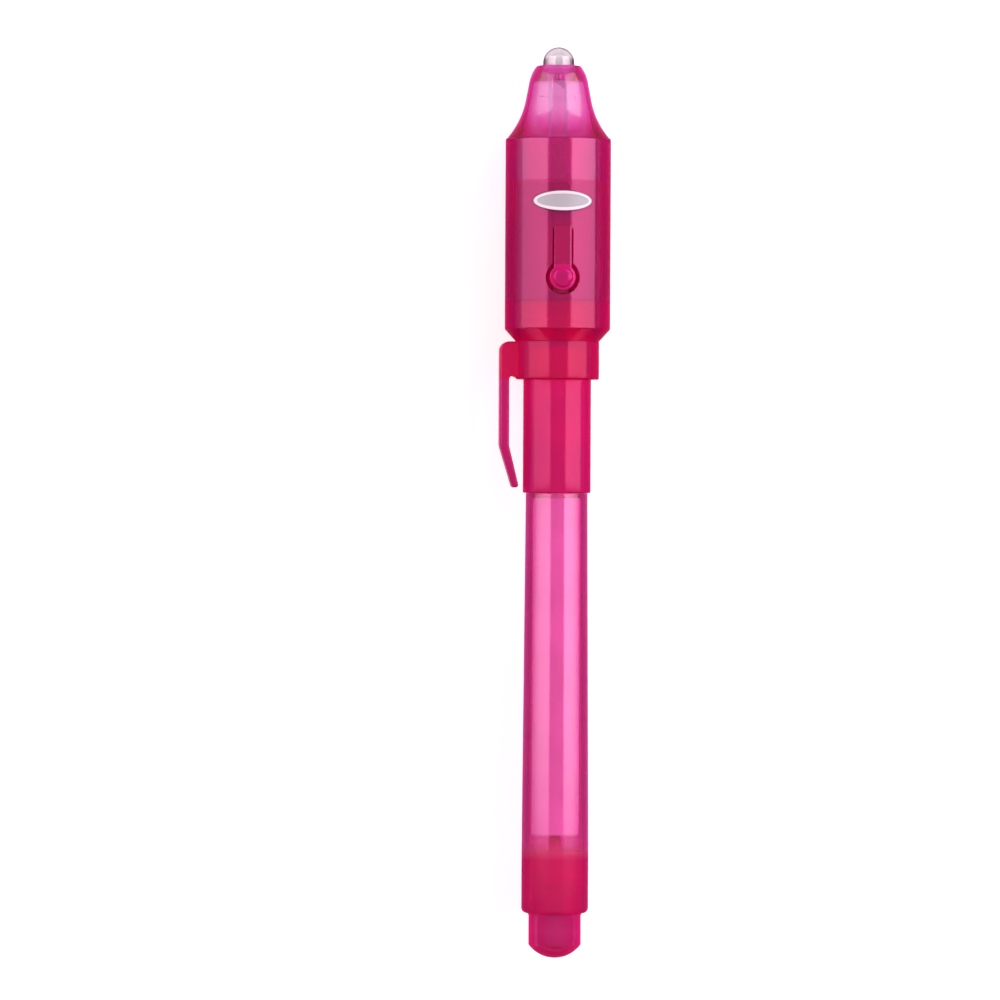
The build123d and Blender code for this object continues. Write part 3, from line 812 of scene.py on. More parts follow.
@dataclass(frozen=True)
class ClearEpoxy:
    """Clear casting resin. As the lamp's dome it is drawn as a faintly grey skin that looks dark where it is
    seen edge-on: painted shade for the lamp's dark outline.
    """

    name: str
    loss: Colour  # share of red, green and blue lost per metre
    shine: float  # strength of the white shine
    shine_bend: float = 2.2  # refraction that sets how much that shine mirrors
    shine_blur: float = 0.03
    bend: float = 1.02  # refraction of the body, which hardly acts as a lens
    dark: Colour = (0.97, 0.96, 0.99)
    light: Colour = (1.0, 1.0, 1.0)
    gloss: Pair = (0.01, 0.03)
    wave: float = 2.5  # length of the casting waves
    wave_depth: float = 0.003
    slot: str = "clear_epoxy"

    def material(self) -> Material:
        """Smooth clear body with faint casting waves.

        Returns:
            The new material.
        """
        graph = Graph(self.name)
        waves = graph.noise(self.wave, detail=1.0)
        sockets = {
            "Base Color": graph.shades(waves, self.dark, self.light),
            "Roughness": graph.ranged(waves, *self.gloss),
            "IOR": self.bend,
            "Transmission Weight": 1.0,
            "Coat Weight": graph.fading(self.shine, SHINE_FADE),
            "Coat Roughness": self.shine_blur,
            "Coat IOR": self.shine_bend,
            "Normal": graph.bump(waves, self.wave_depth),
        }
        return graph.dyed(sockets, self.loss)


@dataclass(frozen=True)
class PrintedOval:
    """Blank oval: a pale field inside a white border, ringed by a dark line of painted shadow."""

    name: str
    centre: float
    width: float
    height: float
    border: float
    line: float = 0.13  # width of the dark line round the border, painted shadow under the oval's edge
    field: Colour = (0.47, 0.39, 0.45)
    edge: Colour = (0.90, 0.70, 0.80)
    # rim: painted shadow, a dark line round the oval that stands in for the shade under its edge
    rim: Colour = (0.16, 0.004, 0.05)
    gloss: Pair = (0.3, 0.45)
    grain: float = 0.2
    grain_depth: float = 0.003
    blur: Pair = (0.97, 1.01)  # shares of an oval's size between which its edge is soft
    slot: str = "label"

    def material(self) -> Material:
        """Satin print: the field's oval in the border's oval, in a dark line of painted shadow that runs to the
        edge.

        Returns:
            The new material.
        """
        graph = Graph(self.name)
        bordered = graph.mixed(self.outside(graph, self.border), (*self.field, 1.0), (*self.edge, 1.0))
        grain = graph.noise(self.grain)
        sockets = {
            # The rim colour paints the shadow under the oval's edge.
            "Base Color": graph.mixed(self.outside(graph, self.line), bordered, (*self.rim, 1.0)),
            "Roughness": graph.ranged(grain, *self.gloss),
            "Normal": graph.bump(grain, self.grain_depth),
        }
        return graph.close(graph.surface(sockets))

    def outside(self, graph: Graph, inset: float) -> Socket:
        """Share of 1 outside an oval that lies inside the print's edge, and of 0 in it.

        The oval ends where the length of (x / half width, y / half height) is 1.

        Args:
            graph: The material's nodes.
            inset: The oval's distance from the print's edge.

        Returns:
            The share, with a soft step at the oval.
        """
        across = (self.width / 2 - inset) * MM
        along = (self.height / 2 - inset) * MM
        oval = graph.mapped((1 / across, 1 / along, 0.0), (0.0, -self.centre * MM / along, 0.0))
        length = graph.add("ShaderNodeVectorMath", {0: oval}, operation="LENGTH").outputs["Value"]
        return graph.scaled(length, self.blur, 0.0, 1.0)


PALE_PINK = TintedPlastic(
    "pale_pink", (0.89, 0.30, 0.62), 0.95, (155.0, 640.0, 300.0), pearl=0.03, shine=0.19, fade=(0.15, 0.36)
)
TAIL_ZONE = Zone(PALE_PINK.tint, clear=0.95, shine=0.07)
PLUG_ZONE = Zone((0.78, 0.03, 0.25), clear=0.74, shine=0.06, soft=1.2)
LILAC_PINK = TintedPlastic(
    "lilac_pink", (0.93, 0.88, 0.92), 0.985, (140.0, 950.0, 360.0), pearl=0.03, shine=0.085
)
SPIGOT_ZONE = Zone((0.93, 0.55, 0.78), clear=0.9, shine=0.085)
PINK = TintedPlastic("pink", (0.77, 0.03, 0.45), 0.84, pearl=0.07, shine=0.135)
SHELL_ZONE = Zone((0.77, 0.03, 0.37), clear=0.84, shine=0.08)
SOCKET_ZONE = Zone((0.83, 0.01, 0.25), clear=0.74, shine=0.08)
PAD_PINK = replace(PINK, name="pad_pink", tint=(0.80, 0.03, 0.34), shine=0.08)
DISC_ZONE = Zone((0.80, 0.02, 0.29), clear=0.6, shine=0.04)
ROSE_PINK = TintedPlastic("rose_pink", (0.82, 0.03, 0.31), 0.6, shine=0.085)
DEEP_PINK = TintedPlastic("deep_pink", (0.76, 0.01, 0.165), 0.6, shine=0.045)
SLEEVE_ZONE = Zone((0.76, 0.014, 0.23), clear=0.6, shine=0.05)
ARM_ZONE = Zone((0.66, 0.02, 0.27), clear=0.6, shine=0.05)
# Deep, dark pink of the battery holder: partly the holder's own dye, partly painted shade for the inside of the
# head and the slot round the button.
INNER_PINK_AND_SHADE = TintedPlastic("inner_pink_and_shade", (0.35, 0.006, 0.09), 0.5, pearl=0.0, shine=0.0)
FIBRE = BondedFibre("white_fibre")
FILM = ClearFilm("clear_film")
EPOXY = ClearEpoxy("clear_epoxy", (10.0, 14.0, 12.0), shine=0.0)
# Grey skin of the lamp's dome: its darkness where it is seen edge-on and at its foot is painted shade.
EDGE_SHADED_EPOXY = ClearEpoxy("epoxy_painted_edge_shade", (1000.0, 1330.0, 1180.0), shine=0.5)
TINNED = PlatedMetal("tinned_wire", "tinned_steel", (0.66, 0.65, 0.65), (0.78, 0.77, 0.77), (0.38, 0.52))
# Dark crimson plate: painted reflection of the pink walls round the contacts, and painted shade, in place of
# the metal's own colour.
BRONZE_PAINTED_PINK_REFLECTION = PlatedMetal("bronze_strip_painted_reflection", "spring_bronze", (0.30, 0.05, 0.09), (0.40, 0.07, 0.12), (0.4, 0.55))
NICKEL = PlatedMetal(
    "nickel_plate", "cell_steel", (0.66, 0.65, 0.63), (0.80, 0.79, 0.77), stretch=(0.3, 1.0, 0.3)
)
GOLD = PlatedMetal("gold_wire", "tinned_steel", (0.80, 0.58, 0.25), (0.90, 0.68, 0.33))
NYLON = MattPart("nylon_seal", "seal_nylon", (0.80, 0.78, 0.72), (0.90, 0.89, 0.84))
DIE = MattPart("lamp_die", "chip", (0.25, 0.24, 0.34), (0.42, 0.40, 0.50), (0.15, 0.25))

Finish = Union[TintedPlastic, BondedFibre, ClearFilm, MattPart, ClearEpoxy, PrintedOval]


@dataclass
class Wardrobe:
    """Dresses pieces in finishes. Each finish is made once."""

    made: dict[str, Material]

    def material(self, finish: Finish) -> Material:
        """The finish's material.

        Args:
            finish: The finish, known by its name.

        Returns:
            Its material, made when it is first asked for.
        """
        if finish.name not in self.made:
            self.made[finish.name] = finish.material()
        return self.made[finish.name]

    def cover(self, piece: Piece, finish: Finish, *nodes: str) -> None:
        """Gives a new piece its finish.

        Args:
            piece: The piece.
            finish: Its finish.
            nodes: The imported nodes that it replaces.
        """
        piece.data.materials.clear()
        piece.data.materials.append(self.material(finish))
        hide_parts(*nodes)

    def dress(self, piece: Piece, finish: Finish, body: Body, *nodes: str) -> None:
        """Gives a new piece its finish and lets it ride on a body.

        Args:
            piece: The piece.
            finish: Its finish.
            body: The body that carries it.
            nodes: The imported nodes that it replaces.
        """
        self.cover(piece, finish, *nodes)
        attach(piece, body.value)
        LOG.info("%s rides on %s", piece.name, body.value)

    def bend(self, piece: Piece, finish: Finish, body: Body, start: Triple, end: Triple, *nodes: str) -> None:
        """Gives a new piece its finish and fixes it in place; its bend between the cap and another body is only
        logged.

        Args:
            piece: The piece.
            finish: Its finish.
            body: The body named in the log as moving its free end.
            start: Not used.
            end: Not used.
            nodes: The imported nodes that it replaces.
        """
        self.cover(piece, finish, *nodes)
        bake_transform(piece)
        LOG.info("%s bends between %s and %s", piece.name, Body.CAP.value, body.value)

    def paint(self, node: str, finish: Finish) -> None:
        """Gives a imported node, whose shape stays, a better finish.

        Args:
            node: The node's name.
            finish: Its finish.
        """
        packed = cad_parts[node]
        if not packed.material_slots:
            packed.data.materials.append(None)
        for slot in packed.material_slots:
            slot.material = self.material(finish)
        LOG.info("%s keeps its packed shape", node)


# The pen's sub-assemblies


@dataclass
class WritingEnd:
    """Barrel, tail plug, ink rod, front section and nib."""

    wardrobe: Wardrobe
    wall: float = 0.9
    front_radius: float = 4.8
    tail_edge: float = 0.8
    tail_length: float = 9.6
    draft_round: float = 20.0  # rounding where the barrel starts to narrow
    neck_radius: float = 4.31
    neck_wall: float = 0.85
    stop_step: float = 0.7
    plug_radius: float = 4.07
    plug_neck: float = 4.9
    plug_wall: float = 1.0
    plug_floor: float = 1.6
    plug_slope: float = 0.35  # length over which the plug widens below the barrel
    rib_count: int = 3
    rib_length: float = 1.2
    rib_height: float = 0.12
    post_radius: float = 1.0
    nib_radius: float = 0.98
    nib_tip: float = 0.42
    nib_point: float = 1.9
    nib_round: float = 0.9
    nib_lean: float = 0.35  # how far the point's side leans in, per millimetre along it
    nib_gap: float = 0.02
    nib_faces: int = 64
    flange_length: float = 1.2
    cone_base: float = 3.5
    cone_tip: float = 1.8

    def build(self) -> None:
        """Builds and dresses every piece of the writing end."""
        dress = self.wardrobe.dress
        zones = ((Extent.of("ink_reservoir").start, TAIL_ZONE), (self.tail_length, PLUG_ZONE))
        dress(self.barrel(), replace(PALE_PINK, zones=zones), Body.PEN, "barrel")
        dress(self.plug(), ROSE_PINK, Body.PEN, "end_plug")
        dress(self.ink_rod(), FIBRE, Body.PEN, "ink_reservoir")
        dress(self.front(), DEEP_PINK, Body.PEN, "front_section")
        dress(self.nib(), FIBRE, Body.PEN, "nib")
        self.wardrobe.paint("reservoir_wrap", FILM)

    def barrel(self) -> Piece:
        """Drafted tube with a rounded tail edge and a reduced neck under the cap.

        Returns:
            The new piece.
        """
        packed = Extent.of("barrel")
        shoulder = Extent.of("cap_sleeve").start
        stop = shoulder - self.stop_step
        tail = packed.radius
        neck_bore = self.neck_radius - self.neck_wall
        profile = [
            (tail - self.wall, packed.start, Edge.BROKEN),
            (tail, packed.start, self.tail_edge),
            (tail, self.tail_length, self.draft_round),
            (self.front_radius, shoulder - SEAM, Edge.BROKEN),
            (self.neck_radius, shoulder - SEAM, Edge.CRISP),
            (self.neck_radius, packed.end, Edge.ROUND),
            (neck_bore, packed.end, Edge.EASED),
            (neck_bore, stop, Edge.FINE),
            (self.front_radius - self.wall, stop, Edge.CRISP),
            (tail - self.wall, self.tail_length, self.draft_round),
        ]
        return make_piece("barrel_tube", [lathe(profile, closed=True)])

    def plug(self) -> Piece:
        """Ribbed cup with a domed end outside the tail and a round-topped post that backs the ink rod.

        Returns:
            The new piece.
        """
        packed = Extent.of("end_plug")
        rib = packed.radius
        shank = rib - self.rib_height
        bore = shank - self.plug_wall
        pitch = (self.tail_length - self.rib_length) / (self.rib_count - 1)
        ribs: Corners = []
        for start in np.arange(self.rib_count) * pitch:
            end = start + self.rib_length
            ribs += [(shank, start, Edge.HAIR), (rib, start, Edge.CRISP)]
            ribs += [(rib, end, Edge.CRISP), (shank, end, Edge.HAIR)]
        dome = tangent_arc((0.0, packed.start), (1.0, 0.0), (self.plug_radius, -self.plug_neck))
        side = (self.post_radius, packed.end - self.post_radius)
        post_top = tangent_arc(side, (0.0, 1.0), (0.0, packed.end), ARC_STEPS)
        middle = [
            (self.plug_radius, -self.plug_slope, Edge.SHARP),
            *ribs[1:-1],
            (bore, self.tail_length, Edge.SOFT),
            (bore, self.plug_floor, Edge.DEEP),
            (self.post_radius, self.plug_floor, Edge.FULL),
        ]
        profile = np.vstack([plain(dome), np.array(middle, float), plain(post_top)])
        return make_piece("tail_plug", [lathe(profile)])

    def ink_rod(self) -> Piece:
        """Fibre rod with slightly frayed ends, pierced at the front for the nib.

        Returns:
            The new piece.
        """
        packed = Extent.of("ink_reservoir")
        hole = self.nib_radius + self.nib_gap
        floor = Extent.of("nib").start - self.nib_gap
        profile = [
            (0.0, packed.start, Edge.SHARP),
            (packed.radius, packed.start, Edge.WIDE),
            (packed.radius, packed.end, Edge.ROUND),
            (hole, packed.end, Edge.EASED),
            (hole, floor, Edge.CRISP),
            (0.0, floor, Edge.SHARP),
        ]
        return make_piece("ink_rod", [lathe(profile)])

    def front(self) -> Piece:
        """Plug in the barrel's neck, with a flange and a cone that holds the nib.

        Returns:
            The new piece.
        """
        packed = Extent.of("front_section")
        hole = self.nib_radius + self.nib_gap
        neck_end = Extent.of("barrel").end
        spigot = self.neck_radius - self.neck_wall - self.nib_gap
        flange_end = neck_end + self.flange_length
        profile = [
            (hole, packed.start, Edge.EASED),
            (spigot, packed.start, Edge.WIDE),
            (spigot, neck_end + SEAM, Edge.CRISP),
            (packed.radius, neck_end + SEAM, Edge.EASED),
            (packed.radius, flange_end, Edge.ROUND),
            (self.cone_base, flange_end, Edge.WIDE),
            (self.cone_tip, packed.end, Edge.FULL),
            (hole, packed.end, Edge.EASED),
        ]
        return make_piece("front_cone", [lathe(profile, closed=True)])

    def nib(self) -> Piece:
        """Bonded fibre rod with a bullet point.

        Returns:
            The new piece.
        """
        packed = Extent.of("nib")
        side = (self.nib_tip, packed.end - self.nib_tip)
        tip = tangent_arc(side, (-self.nib_lean, 1.0), (0.0, packed.end), ARC_STEPS)
        rod = [
            (0.0, packed.start, Edge.SHARP),
            (self.nib_radius, packed.start, Edge.CRISP),
            (self.nib_radius, packed.end - self.nib_point, self.nib_round),
        ]
        profile = np.vstack([np.array(rod, float), plain(tip)])
        return make_piece("fibre_nib", [lathe(profile, segments=self.nib_faces)])


@dataclass
class CapTube:
    """Sleeve over the front of the pen, with its collar, and the pocket clip."""

    wardrobe: Wardrobe
    sleeve_radius: float = 5.27
    wall: float = 0.9
    mouth_edge: float = 0.2
    collar_length: float = 5.9
    collar_edge: float = 0.25
    chamber: float = 22.8
    deck: float = 1.3
    spigot_radius: float = 5.58
    spigot_wall: float = 1.2
    clip_thick: float = 1.4
    clip_tip_thick: float = 1.0
    clip_tip_round: float = 0.45  # share of the tip's thickness
    clip_bend: float = 72.5
    clip_bend_radius: float = 3.0
    clip_lean: float = 1.98
    clip_rim: float = 0.3
    clip_face: float = 0.5  # longest face along the clip's outline
    foot_corner: float = 1.4
    foot_root: float = 6.0  # from the axis, inside the collar's wall
    foot_slope: float = 0.8  # the foot's underside is this much higher at the arm
    foot_crotch: float = 0.5  # rounding where arm and foot meet
    stub: float = 0.4  # arm that stays with the foot
    flex: float = 2.0  # length over which the arm bends

    def build(self) -> None:
        """Builds and dresses the sleeve and the clip."""
        finish = replace(DEEP_PINK, name="sleeve_pink", zones=((self.collar, SLEEVE_ZONE),))
        self.wardrobe.dress(self.sleeve(), finish, Body.CAP, "cap_sleeve")
        finish = replace(DEEP_PINK, name="clip_pink", zones=((self.collar, ARM_ZONE),))
        middle = -Extent.of("cap_sleeve").low[0] - self.clip_thick / 2
        root = self.collar + self.foot_slope - self.stub
        start = (-middle * MM, root * MM, 0.0)
        end = (-middle * MM, (root - self.flex) * MM, 0.0)
        self.wardrobe.bend(self.clip(), finish, Body.CLIP, start, end, "pocket_clip")

    @property
    def collar(self) -> float:
        """Lower face of the collar."""
        return self.head - self.collar_length

    @property
    def head(self) -> float:
        """Face on which the head stands."""
        return Extent.of("head_shell").start

    def sleeve(self) -> Piece:
        """Turned sleeve, collar, deck and spigot.

        Returns:
            The new piece.
        """
        packed = Extent.of("cap_sleeve")
        bore = self.sleeve_radius - self.wall
        deck = packed.start + self.chamber
        recess = self.spigot_radius - self.spigot_wall
        profile = [
            (0.0, deck, Edge.SHARP),
            (bore, deck, Edge.DEEP),
            (bore, packed.start, Edge.ROUND),
            (self.sleeve_radius, packed.start, self.mouth_edge),
            (self.sleeve_radius, self.collar, Edge.SOFT),
            (packed.radius, self.collar, self.collar_edge),
            (packed.radius, self.head, Edge.BROKEN),
            (self.spigot_radius, self.head, Edge.CRISP),
            (self.spigot_radius, packed.end, Edge.SOFT),
            (recess, packed.end, Edge.SOFT),
            (recess, deck + self.deck, Edge.FULL),
            (0.0, deck + self.deck, Edge.SHARP),
        ]
        return make_piece("cap_tube", [lathe(profile)])

    def clip(self) -> Piece:
        """Foot that stands on the collar, and a straight arm with its tip bent in towards the sleeve.

        Returns:
            The new piece.
        """
        packed = Extent.of("pocket_clip")
        reach = -float(packed.low[0])
        inner = reach - self.clip_thick
        tip = reach - self.clip_lean
        top = self.head - 2 * SEAM
        tip_round = self.clip_tip_round * self.clip_tip_thick
        corners = [
            (-self.foot_root, top, Edge.SHARP),
            (-reach, top, self.foot_corner),
            (-reach, self.clip_bend, self.clip_bend_radius),
            (-tip, packed.start, tip_round),
            (-tip + self.clip_tip_thick, packed.start, tip_round),
            (-inner, self.clip_bend, self.clip_bend_radius),
            (-inner, self.collar + self.foot_slope, self.foot_crotch),
            (-self.foot_root, self.collar + SEAM, Edge.SHARP),
        ]
        outline = refined(rounded(corners), closed=True, longest=self.clip_face)
        side, ends = slab(outline, -packed.radius, packed.radius, self.clip_rim)
        clip = make_piece("clip_arm", [side], ends)
        collar = Extent.of("cap_sleeve").radius + SEAM
        core = [
            (0.0, self.collar - OVERSHOOT, Edge.SHARP),
            (collar, self.collar - OVERSHOOT, Edge.SHARP),
            (collar, self.head + OVERSHOOT, Edge.SHARP),
            (0.0, self.head + OVERSHOOT, Edge.SHARP),
        ]
        combine(clip, make_piece("core", [lathe(core)]), Join.CUT)
        return clip


@dataclass
class LampHead:
    """Head tube with its press button and blank oval, and the batteries and switch inside."""

    wardrobe: Wardrobe
    wall: float = 1.3
    bevel: float = 1.9
    bevel_edge: float = 0.3
    collar_radius: float = 6.5
    socket_radius: float = 5.6
    floor: float = 6.3
    ring_radius: float = 2.65  # of the slot round the button
    disc_radius: float = 2.0  # of the tongue, so that the ring round it is wide
    pad_cap_radius: float = 1.6
    pad_edge: float = 0.6
    pad_crown: float = 0.1
    pad_rise: float = 9.7
    pad_steps: int = 12  # faces across the pad's crown
    tongue_length: float = 7.6
    tongue_width: float = 2.7
    tongue_thick: float = 0.9
    tongue_rim: float = 0.1
    tongue_face: float = 0.3  # longest face along the tongue's edge
    tongue_rows: int = 4  # rows of faces between its spine and its rim
    slot_width: float = 0.28
    slot_round: float = 0.25
    root: float = 0.45  # tongue beyond its pivot, held by the wall
    flex: float = 0.8  # length over which the tongue bends
    nub_radius: float = 0.8
    nub_edge: float = 0.3
    label_border: float = 0.6
    label_sink: float = 0.05  # field below the border
    label_glue: float = 0.01  # gap below the plate
    label_points: int = 128  # points round the oval
    label_rows: int = 13  # points from its middle to its border
    cell_height: float = 3.6
    cell_count: int = 3
    cell_wall: float = 0.25
    crimp: float = 0.12  # how far the can's lip is turned in
    crimp_height: float = 0.1
    crimp_slope: float = 0.02
    seal_proud: float = 0.04  # seal beyond the can's lip
    seal_short: float = 0.3  # seal short of the can's floor
    cap_proud: float = 0.35  # cap beyond the can's lip
    cap_face: float = 0.45  # from the cap's rim in to its raised face
    cap_foot: float = 0.3  # and in to the foot of the step round that face
    cap_step: float = 0.12
    cap_rim: float = 0.14

    def build(self) -> None:
        """Builds and dresses every piece of the head."""
        wardrobe = self.wardrobe
        zones = ((Extent.of("nose_cone").start, SHELL_ZONE), (self.ledge, SOCKET_ZONE))
        wardrobe.dress(self.tube(), replace(PINK, zones=zones), Body.CAP, "head_shell")
        finish = replace(PAD_PINK, zones=((self.pad + self.disc_radius, DISC_ZONE),))
        start = (0.0, (self.pivot + self.root / 2) * MM, 0.0)
        end = (0.0, (self.pivot + self.root / 2 - self.flex) * MM, 0.0)
        wardrobe.bend(self.button(), finish, Body.BUTTON, start, end, "press_button")
        oval = Extent.of("label_plate")
        print_finish = PrintedOval(
            "printed_oval",
            centre=(oval.start + oval.end) / 2,
            width=float(oval.high[0] - oval.low[0]),
            height=oval.end - oval.start,
            border=self.label_border,
        )
        wardrobe.dress(self.label(oval), print_finish, Body.CAP, "label_plate")
        cans, seals, caps = self.cells()
        wardrobe.dress(cans, NICKEL, Body.CAP, "cell_cans")
        wardrobe.dress(seals, NYLON, Body.CAP, "cell_seals")
        wardrobe.dress(caps, NICKEL, Body.CAP, "cell_caps")
        wardrobe.paint("battery_holder", INNER_PINK_AND_SHADE)
        wardrobe.paint("negative_contact", BRONZE_PAINTED_PINK_REFLECTION)
        wardrobe.paint("switch_leaf", BRONZE_PAINTED_PINK_REFLECTION)

    @property
    def radius(self) -> float:
        """Outer radius of the head."""
        return Extent.of("head_shell").radius

    @property
    def ledge(self) -> float:
        """Upper face of the socket that the cap's spigot sits in."""
        return Extent.of("head_shell").start + self.floor

    @property
    def pad(self) -> float:
        """Place of the button's centre along the pen."""
        return Extent.of("head_shell").start + self.pad_rise

    @property
    def pivot(self) -> float:
        """Place along the pen about which the tongue bends."""
        return self.pad + self.tongue_length

    def tube(self) -> Piece:
        """Wide tube with a bevel at the collar, a ledge inside, and the keyhole slot that frees the tongue.

        Returns:
            The new piece.
        """
        packed = Extent.of("head_shell")
        bore = packed.radius - self.wall
        start = packed.start + SEAM
        end = packed.end - SEAM
        profile = [
            (self.socket_radius, start, Edge.EASED),
            (self.collar_radius, start, Edge.FINE),
            (packed.radius, packed.start + self.bevel, self.bevel_edge),
            (packed.radius, end, Edge.DULL),
            (bore, end, Edge.BROKEN),
            (bore, self.ledge, Edge.SOFT),
            (self.socket_radius, self.ledge, Edge.BROKEN),
        ]
        tube = make_piece("head_tube", [lathe(profile, closed=True)])
        half_slot = self.tongue_width / 2 + self.slot_width
        half_root = self.tongue_width / 2 + SEAM
        root = self.pivot + self.root + SEAM
        end_corners = [
            (-half_slot, self.pivot, self.slot_round),
            (-half_root, self.pivot, Edge.SHARP),
            (-half_root, root, Edge.SHARP),
            (half_root, root, Edge.SHARP),
            (half_root, self.pivot, Edge.SHARP),
            (half_slot, self.pivot, self.slot_round),
        ]
        hole = keyhole(self.pad, self.ring_radius, half_slot, end_corners)
        side, ends = slab(hole, bore / 2, 2 * packed.radius)
        combine(tube, make_piece("keyhole", [side], ends), Join.CUT)
        return tube

    def button(self) -> Piece:
        """Tongue of the head's wall with a raised pad outside and a nub inside.

        Returns:
            The new piece.
        """
        packed = Extent.of("press_button")
        tongue = make_piece("press_tongue", [self.tongue()])
        top = float(packed.high[2])
        shoulder = top - self.pad_crown
        middle = self.radius - self.tongue_thick / 2
        crown = (self.pad_cap_radius - self.pad_edge, shoulder)
        pad_top = tangent_arc((0.0, top), (1.0, 0.0), crown, self.pad_steps)
        pad_side = [
            (0.0, middle, Edge.SHARP),
            (self.pad_cap_radius, middle, Edge.SHARP),
            (self.pad_cap_radius, shoulder, self.pad_edge),
        ]
        pad = np.vstack([np.array(pad_side, float), plain(pad_top[::-1])])
        nub = [
            (0.0, middle, Edge.SHARP),
            (self.nub_radius, middle, Edge.SHARP),
            (self.nub_radius, float(packed.low[2]), self.nub_edge),
            (0.0, float(packed.low[2]), Edge.SHARP),
        ]
        for profile in (pad, nub):
            knob = make_piece("knob", [stood_up(lathe(profile, segments=SMALL_SEGMENTS), self.pad)])
            combine(tongue, knob, Join.ADD)
        return tongue

    def tongue(self) -> Patch:
        """Strip of the head's wall with a disc at its free end and rounded rims.

        Every point of it lies on a line from its spine, x = 0, to its outline. The share of that line runs
        out over the top, down the edge and back below. The height is that of a circle about the pen's axis,
        sqrt(r^2 - x^2), with r between the wall's two radii.

        Returns:
            The closed surface.
        """
        half = self.tongue_width / 2
        root = self.pivot + self.root
        end = [(-half, root, Edge.SHARP), (half, root, Edge.SHARP)]
        outline = refined(keyhole(self.pad, self.disc_radius, half, end), True, self.tongue_face)
        spine = np.column_stack([0 * outline[:, 0], np.clip(outline[:, 1], self.pad, root - half)])
        arc = np.linspace(0, math.pi / 2, ARC_STEPS + 1)
        near = 1 - self.tongue_rim / half
        drop = self.tongue_rim / self.tongue_thick
        inner = np.linspace(0, near, self.tongue_rows, endpoint=False)
        share = np.concatenate([inner, near + (1 - near) * np.sin(arc)])
        lift = np.concatenate([1 + 0 * inner, 1 - drop * (1 - np.cos(arc))])
        share = np.concatenate([share, share[::-1]])[:, None, None]
        lift = np.concatenate([lift, 1 - lift[::-1]])[:, None]
        flat = spine[None] + share * (outline - spine)[None]
        ring = self.radius - self.tongue_thick * (1 - lift)
        height = np.sqrt(ring**2 - flat[..., 0] ** 2)
        return Patch(np.concatenate([flat, height[..., None]], axis=-1))

    def label(self, packed: Extent) -> Piece:
        """Thin oval that follows the head's curve, with a border that stands proud of its field.

        A point at the share s from the middle to the edge, in the direction a, lies at (s w cos a, s h sin a)
        and at the height sqrt(r^2 - x^2). The radius r drops by the sink inside the border and rounds off at
        the edge.

        Args:
            packed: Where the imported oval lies.

        Returns:
            The new piece.
        """
        wide = float(packed.high[0])
        tall = (packed.end - packed.start) / 2
        thick = packed.radius - self.radius
        sunk = thick - self.label_sink
        field = np.linspace(0, 1, self.label_rows)
        # The border's section, from the foot of its inner edge to the foot of its outer edge
        inset = self.label_border * np.array([1 + 1 / 8, 1, 1 / 4, 1 / 8, 0, 0])
        border = np.array([sunk, thick, thick, 0.9 * thick, 0.5 * thick, self.label_glue])
        half_x = np.concatenate([field * (wide - inset[0]), wide - inset, field[::-1] * wide])
        half_y = np.concatenate([field * (tall - inset[0]), tall - inset, field[::-1] * tall])
        lift = np.concatenate([sunk + 0 * field, border, self.label_glue + 0 * field])
        angle = np.linspace(0, 2 * math.pi, self.label_points, endpoint=False)[None, :]
        x = half_x[:, None] * np.cos(angle)
        y = (packed.start + packed.end) / 2 + half_y[:, None] * np.sin(angle)
        z = np.sqrt((self.radius + lift[:, None]) ** 2 - x**2)
        return make_piece("label_oval", [Patch(np.stack([x, y, z], axis=-1))])

    def cells(self) -> tuple[Piece, Piece, Piece]:
        """Stack of button cells: drawn cans with a crimped lip, seal rings and stepped caps.

        Returns:
            All cans, all seals and all caps, each as one piece.
        """
        can = Extent.of("cell_cans").radius
        cap = Extent.of("cell_caps").radius
        first = Extent.of("cell_caps").start
        bore = can - self.cell_wall
        cans, seals, caps = [], [], []
        for foot in first + np.arange(self.cell_count) * self.cell_height:
            lip = foot + self.cap_proud
            end = foot + self.cell_height - SEAM
            inside = end - self.cell_wall
            can_profile = [
                (0.0, inside, Edge.SHARP),
                (bore, inside, Edge.ROUND),
                (bore, lip + self.crimp_height, Edge.SHARP),
                (bore - self.crimp, lip + self.crimp_slope, Edge.SHARP),
                (can, lip, Edge.FULL),
                (can, end, Edge.DRAWN),
                (0.0, end, Edge.SHARP),
            ]
            seal_profile = [
                (cap + SEAM, lip - self.seal_proud, Edge.EASED),
                (bore - SEAM, lip - self.seal_proud, Edge.EASED),
                (bore - SEAM, inside - self.seal_short, Edge.SHARP),
                (cap + SEAM, inside - self.seal_short, Edge.SHARP),
            ]
            cap_profile = [
                (0.0, foot + SEAM, Edge.SHARP),
                (cap - self.cap_face, foot + SEAM, Edge.ROUND),
                (cap - self.cap_foot, foot + self.cap_step, Edge.EASED),
                (cap, foot + self.cap_rim, Edge.BROKEN),
                (cap, inside - SEAM, Edge.SHARP),
                (0.0, inside - SEAM, Edge.SHARP),
            ]
            cans.append(lathe(can_profile, segments=SMALL_SEGMENTS))
            seals.append(lathe(seal_profile, closed=True, segments=SMALL_SEGMENTS))
            caps.append(lathe(cap_profile, segments=SMALL_SEGMENTS))
        return make_piece("can_stack", cans), make_piece("seal_stack", seals), make_piece("cap_stack", caps)


